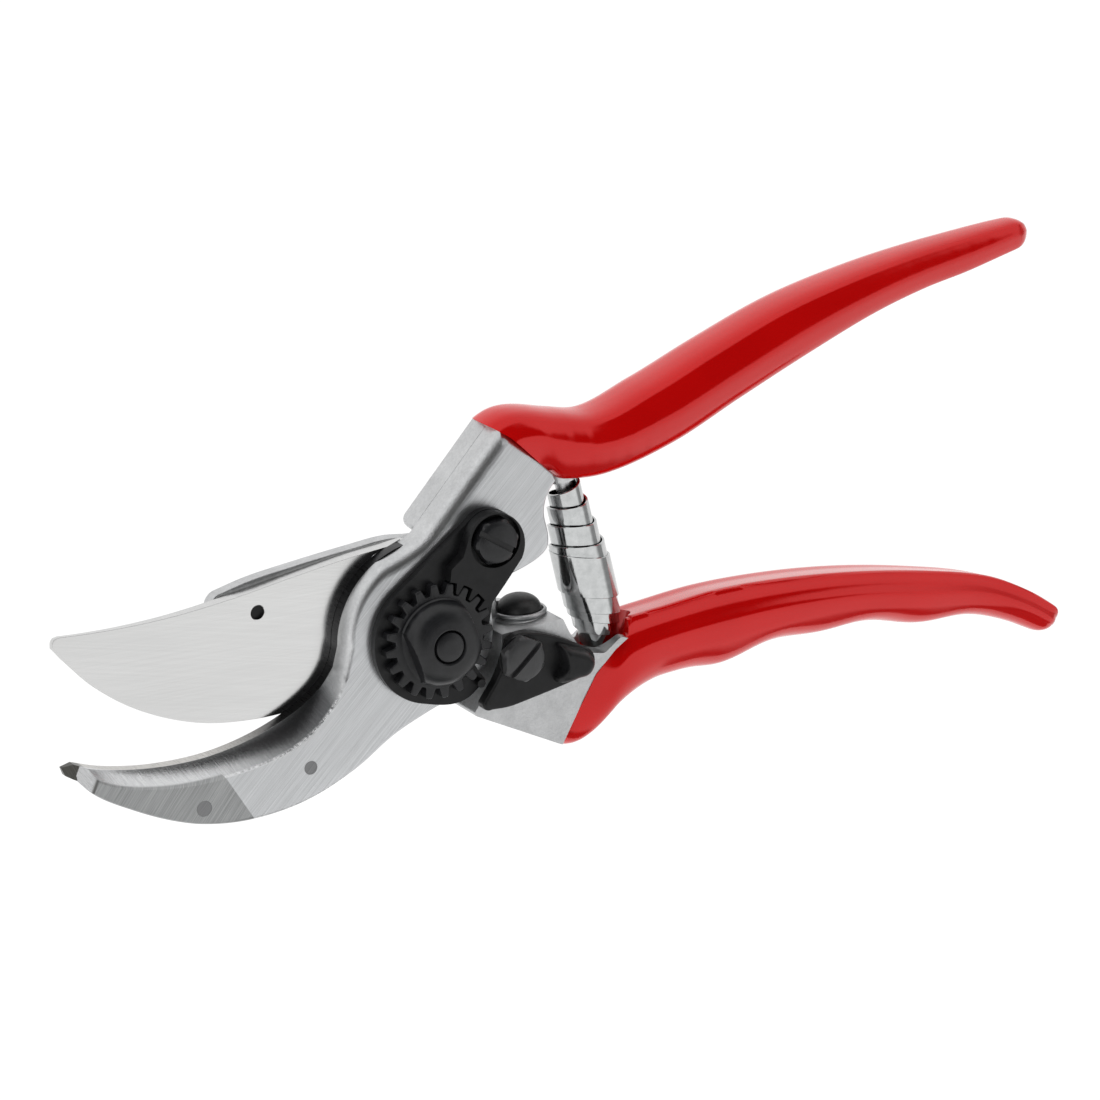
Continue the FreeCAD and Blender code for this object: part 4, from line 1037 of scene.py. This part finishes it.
def buffer():
    """The rubber stop, a low dome on a peg."""
    radius, height = 4.2, 2.9
    profile = [(0.0, -6.0), (2.5, -6.0), (2.6, -5.9), (2.6, -1.2), (4.1, -1.2), (radius, -1.0),
               (radius, -0.1)]
    for i in range(1, 16):
        turn = math.pi / 2 * i / 16
        profile.append((radius * math.cos(turn) ** 0.9, height * math.sin(turn) ** 1.02))
    profile.append((0.0, height))
    return turned_along("buffer_domed", profile, STOP_SEAT, STOP_DEGREES, 64, 40.0)


forging = joined(blade_body(), stop_rim(), stud(LOWER_SEAT, SPRING_DEGREES, 1.4))
place(forging, ALUMINIUM, "blade_side", "forged_aluminium", "blade_handle")
place(buffer(), RUBBER, "blade_side", "buffer_rubber", "buffer", even=False)


# ---- spring

def ribbon(turns, ahead=0.0, thickness=0.38, step=7.5):
    """A wound strip from (turn, radius, lower edge, upper edge) values."""
    first, last = turns[0][0], turns[-1][0]
    steps = round((last - first) * 360 / step)
    sections = []
    for i in range(steps + 1):
        where = first + (last - first) * i / steps
        k = 0
        while k < len(turns) - 2 and turns[k + 1][0] < where:
            k += 1
        share = (where - turns[k][0]) / (turns[k + 1][0] - turns[k][0])
        radius, low, high = (lerp(turns[k][j], turns[k + 1][j], share) for j in (1, 2, 3))
        c, s = math.cos(math.tau * where), math.sin(math.tau * where)
        bend = 0.09
        shape = [(radius - bend, low), (radius, low + bend), (radius, high - bend), (radius - bend, high),
                 (radius - thickness, high), (radius - thickness, low)]
        slant = 0.36 * radius * math.sin(math.tau * where + ahead)
        sections.append([(r * c, r * s, z + slant * ease((z - 1.0) / 6.0) * ease((35.5 - z) / 6.0))
                         for r, z in shape])
    return loft("ribbon", sections, 40.0)


def volute_spring():
    """A double volute: the strip's widest turns are in the middle, and it narrows towards both seats."""
    upper = [(0.0, 5.5, 13.1, 21.3), (1.0, 5.5, 13.1, 21.6), (2.0, 4.9, 18.5, 25.9), (3.0, 4.25, 21.5, 29.6),
             (4.0, 3.6, 25.5, 33.4), (4.9, 2.95, 29.5, 36.3)]
    lower = [(0.0, 5.1, 9.9, 14.9), (1.0, 5.1, 9.7, 14.9), (2.0, 4.6, 7.5, 14.0), (3.0, 4.05, 4.9, 12.0),
             (4.0, 3.5, 2.3, 9.0), (4.9, 2.9, 0.15, 5.0)]
    turn = math.radians(200.0)
    bottom = ribbon(lower, turn)
    bottom.data.transform(Matrix.Rotation(turn, 4, "Z"))
    made = joined(ribbon(upper), bottom)
    made.data.transform(along(LOWER_SEAT, math.degrees(math.atan2(SPRING_AXIS.y, SPRING_AXIS.x))))
    made.name = "volute_spring_strip"
    return made


spring = place(volute_spring(), CHROME, "spring", "spring_chrome", "volute_spring", even=False)
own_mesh(spring)


# ---- CAD nodes that are shown

def hex_screw(name, centre, seat, top, turn, slot, slot_floor):
    """A hexagon head with a domed, turned face and a driver slot. Angles are in degrees."""
    def flats(radius, angle, level):
        if level < seat + 0.05 or radius < 3.0:
            return radius
        step = (math.degrees(angle) - turn) % 60.0 - 30.0
        return min(radius, 3.95 / math.cos(math.radians(step)))
    profile = [(0.0, seat - 0.6), (3.2, seat - 0.6), (3.2, seat), (4.56, seat + 0.06), (4.56, top - 1.15),
               (4.4, top - 0.85)]
    for radius, drop in ((3.95, 0.42), (3.5, 0.2), (2.9, 0.1), (2.2, 0.05), (1.2, 0.01), (0.0, 0.0)):
        profile.append((radius, top - drop))
    head = lathe(name, profile, centre, 144, 24.0, flats)
    run = Vector(polar(6.0, slot))
    side = Vector(polar(0.55, slot + 90.0))
    groove = [Vector(centre) + offset for offset in (-run - side, run - side, run + side, side - run)]
    return carve(head, prism(groove, slot_floor, top + 2.0))


def thumb_catch():
    """A flat lever with a rounded tab for the thumb."""
    plan = outline((7.1, -13.9), ("arc", (7.3, -15.0), (8.9, -15.6)),
                   ("curve", (12.4, -15.9), (16.7, -15.5), (23.1, -14.7), (28.6, -13.9)),
                   ("arc", (31.0, -11.6), (29.7, -8.6)),
                   ("curve", (24.1, -5.1), (19.0, -2.9), (15.8, -2.3), (13.6, -3.3)),
                   ("curve", (12.4, -6.3), (10.2, -10.2), (8.0, -12.8), (7.1, -13.9)), step=0.4)
    lever = ring_solid("thumb_catch_lever", [
        edge_rings(plan, CATCH_LOW, CATCH_TOP, 0.2, 0.55),
        bore(CATCH_AXIS, 2.8, CATCH_LOW, CATCH_TOP, 0.1, 0.1)])
    foot = spline([(23.2, -5.9), (26.4, -7.2), (29.4, -9.0), (30.3, -11.0), (28.9, -13.1), (26.0, -13.5),
                   (22.6, -13.5), (21.9, -12.5), (23.6, -10.4), (23.6, -8.2)], 0.3, closed=True)
    peak = spline([(24.6, -8.2), (25.9, -8.7), (27.5, -9.7), (28.1, -10.6), (27.4, -11.6), (26.0, -11.6),
                   (24.6, -11.5), (24.0, -11.0), (24.3, -10.2), (24.4, -9.2)], 0.3, closed=True)
    foot, peak = fixed_count(foot, 80), fixed_count(peak, 80)
    sections = []
    for i in range(13):
        turn = math.pi / 2 * i / 12
        share = 1.0 - math.cos(turn) ** 0.8
        level = CATCH_TOP - 0.4 + 3.6 * math.sin(turn) ** 1.1
        sections.append([(*[lerp(a, b, share) for a, b in zip(p, q)], level) for p, q in zip(foot, peak)])
    return joined(lever, loft("tab", sections, 60.0))


place(thumb_catch(), BLACK, "thumb_catch", "black_steel", "thumb_catch")
place(hex_screw("segment_screw_head", SEGMENT_AXIS, 16.0, 19.0, 0.0, -37.0, 17.9), BLACK_SEGMENT,
      "anvil_side", "black_steel", "segment_screw")
place(hex_screw("catch_screw_head", CATCH_AXIS, 18.3, 20.6, 30.0, 38.0, 19.5), BLACK_CATCH,
      "blade_side", "black_steel", "catch_screw")
SHOWN = {
    "blade_screw": BLACK, "pivot_bush": BRONZE, "catch_washer": BLACK, "catch_nut": BLACK,
    "locking_segment": BLACK}


def soften_edges(piece, width):
    """Break the sharp edges of a CAD node, which keeps its mesh."""
    flat = piece.modifiers.new("flat_faces", "DECIMATE")
    flat.decimate_type = "DISSOLVE"
    flat.angle_limit = math.radians(1.5)
    edge = piece.modifiers.new("edges", "BEVEL")
    edge.width = width * MM
    edge.segments = 3
    edge.limit_method = "ANGLE"
    edge.angle_limit = math.radians(32.0)
    edge.use_clamp_overlap = True


soften_edges(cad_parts["locking_segment"], 0.18)
for node, material in SHOWN.items():
    for piece_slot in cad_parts[node].material_slots:
        piece_slot.material = material


# ---- floor, light and camera

def floor():
    mesh = bpy.data.meshes.new("floor")
    reach = 3.0
    corners = [(-reach, -reach, 0), (reach, -reach, 0), (reach, reach, 0), (-reach, reach, 0)]
    mesh.from_pydata(corners, [], [(0, 1, 2, 3)])
    made = bpy.data.objects.new("floor", mesh)
    bpy.context.collection.objects.link(made)
    n = Nodes("floor_white", Base_Color=(0.1, 0.1, 0.1, 1.0), Roughness=0.9, Specular_IOR_Level=0.0,
              Emission_Color=(1.0, 1.0, 1.0, 1.0), Emission_Strength=1.0)
    made.data.materials.append(n.material)


def studio():
    """A white world with a dark gap above the shears and dark sides, which the metal and coating reflect."""
    world = bpy.data.worlds.new("studio")
    bpy.context.scene.world = world
    world.use_nodes = True
    n = Tree(world.node_tree)
    background = n.tree.nodes["Background"]
    background.inputs["Strength"].default_value = 1.2
    where = n.add("TexCoord").outputs["Generated"]
    gap = Vector((0.05, 0.35, 0.93)).normalized()
    across = n.add("VectorMath", {0: where, 1: gap}, operation="DOT_PRODUCT").outputs["Value"]
    shade = n.span(across, 0.76, 0.86, smooth=True)
    flat = n.add("SeparateXYZ", {0: where})
    for axis, start, end, share in (("Y", -0.8, -0.9, 0.9), ("X", 0.74, 0.9, 0.7), ("X", -0.8, -0.95, 0.5)):
        shade = n.math("MAXIMUM", shade, n.span(flat.outputs[axis], start, end, 0.0, share, smooth=True))
    n.tree.links.new(n.mix(shade, (1.0, 1.0, 1.0), (0.05, 0.05, 0.05)), background.inputs["Color"])


def camera():
    data = bpy.data.cameras.new("camera")
    data.sensor_width = 36.0
    data.lens = 196.3
    made = bpy.data.objects.new("camera", data)
    bpy.context.collection.objects.link(made)
    aim = Vector((28.68, 8.43, 8.0)) * MM
    distance = 1117.0 * MM
    turned = Euler([math.radians(v) for v in (-16.35, -27.90, -5.91)])
    made.rotation_euler = turned
    made.location = aim + turned.to_matrix() @ Vector((0.0, 0.0, distance))
    bpy.context.scene.camera = made


floor()
studio()
camera()
bpy.context.scene.view_settings.view_transform = "Standard"
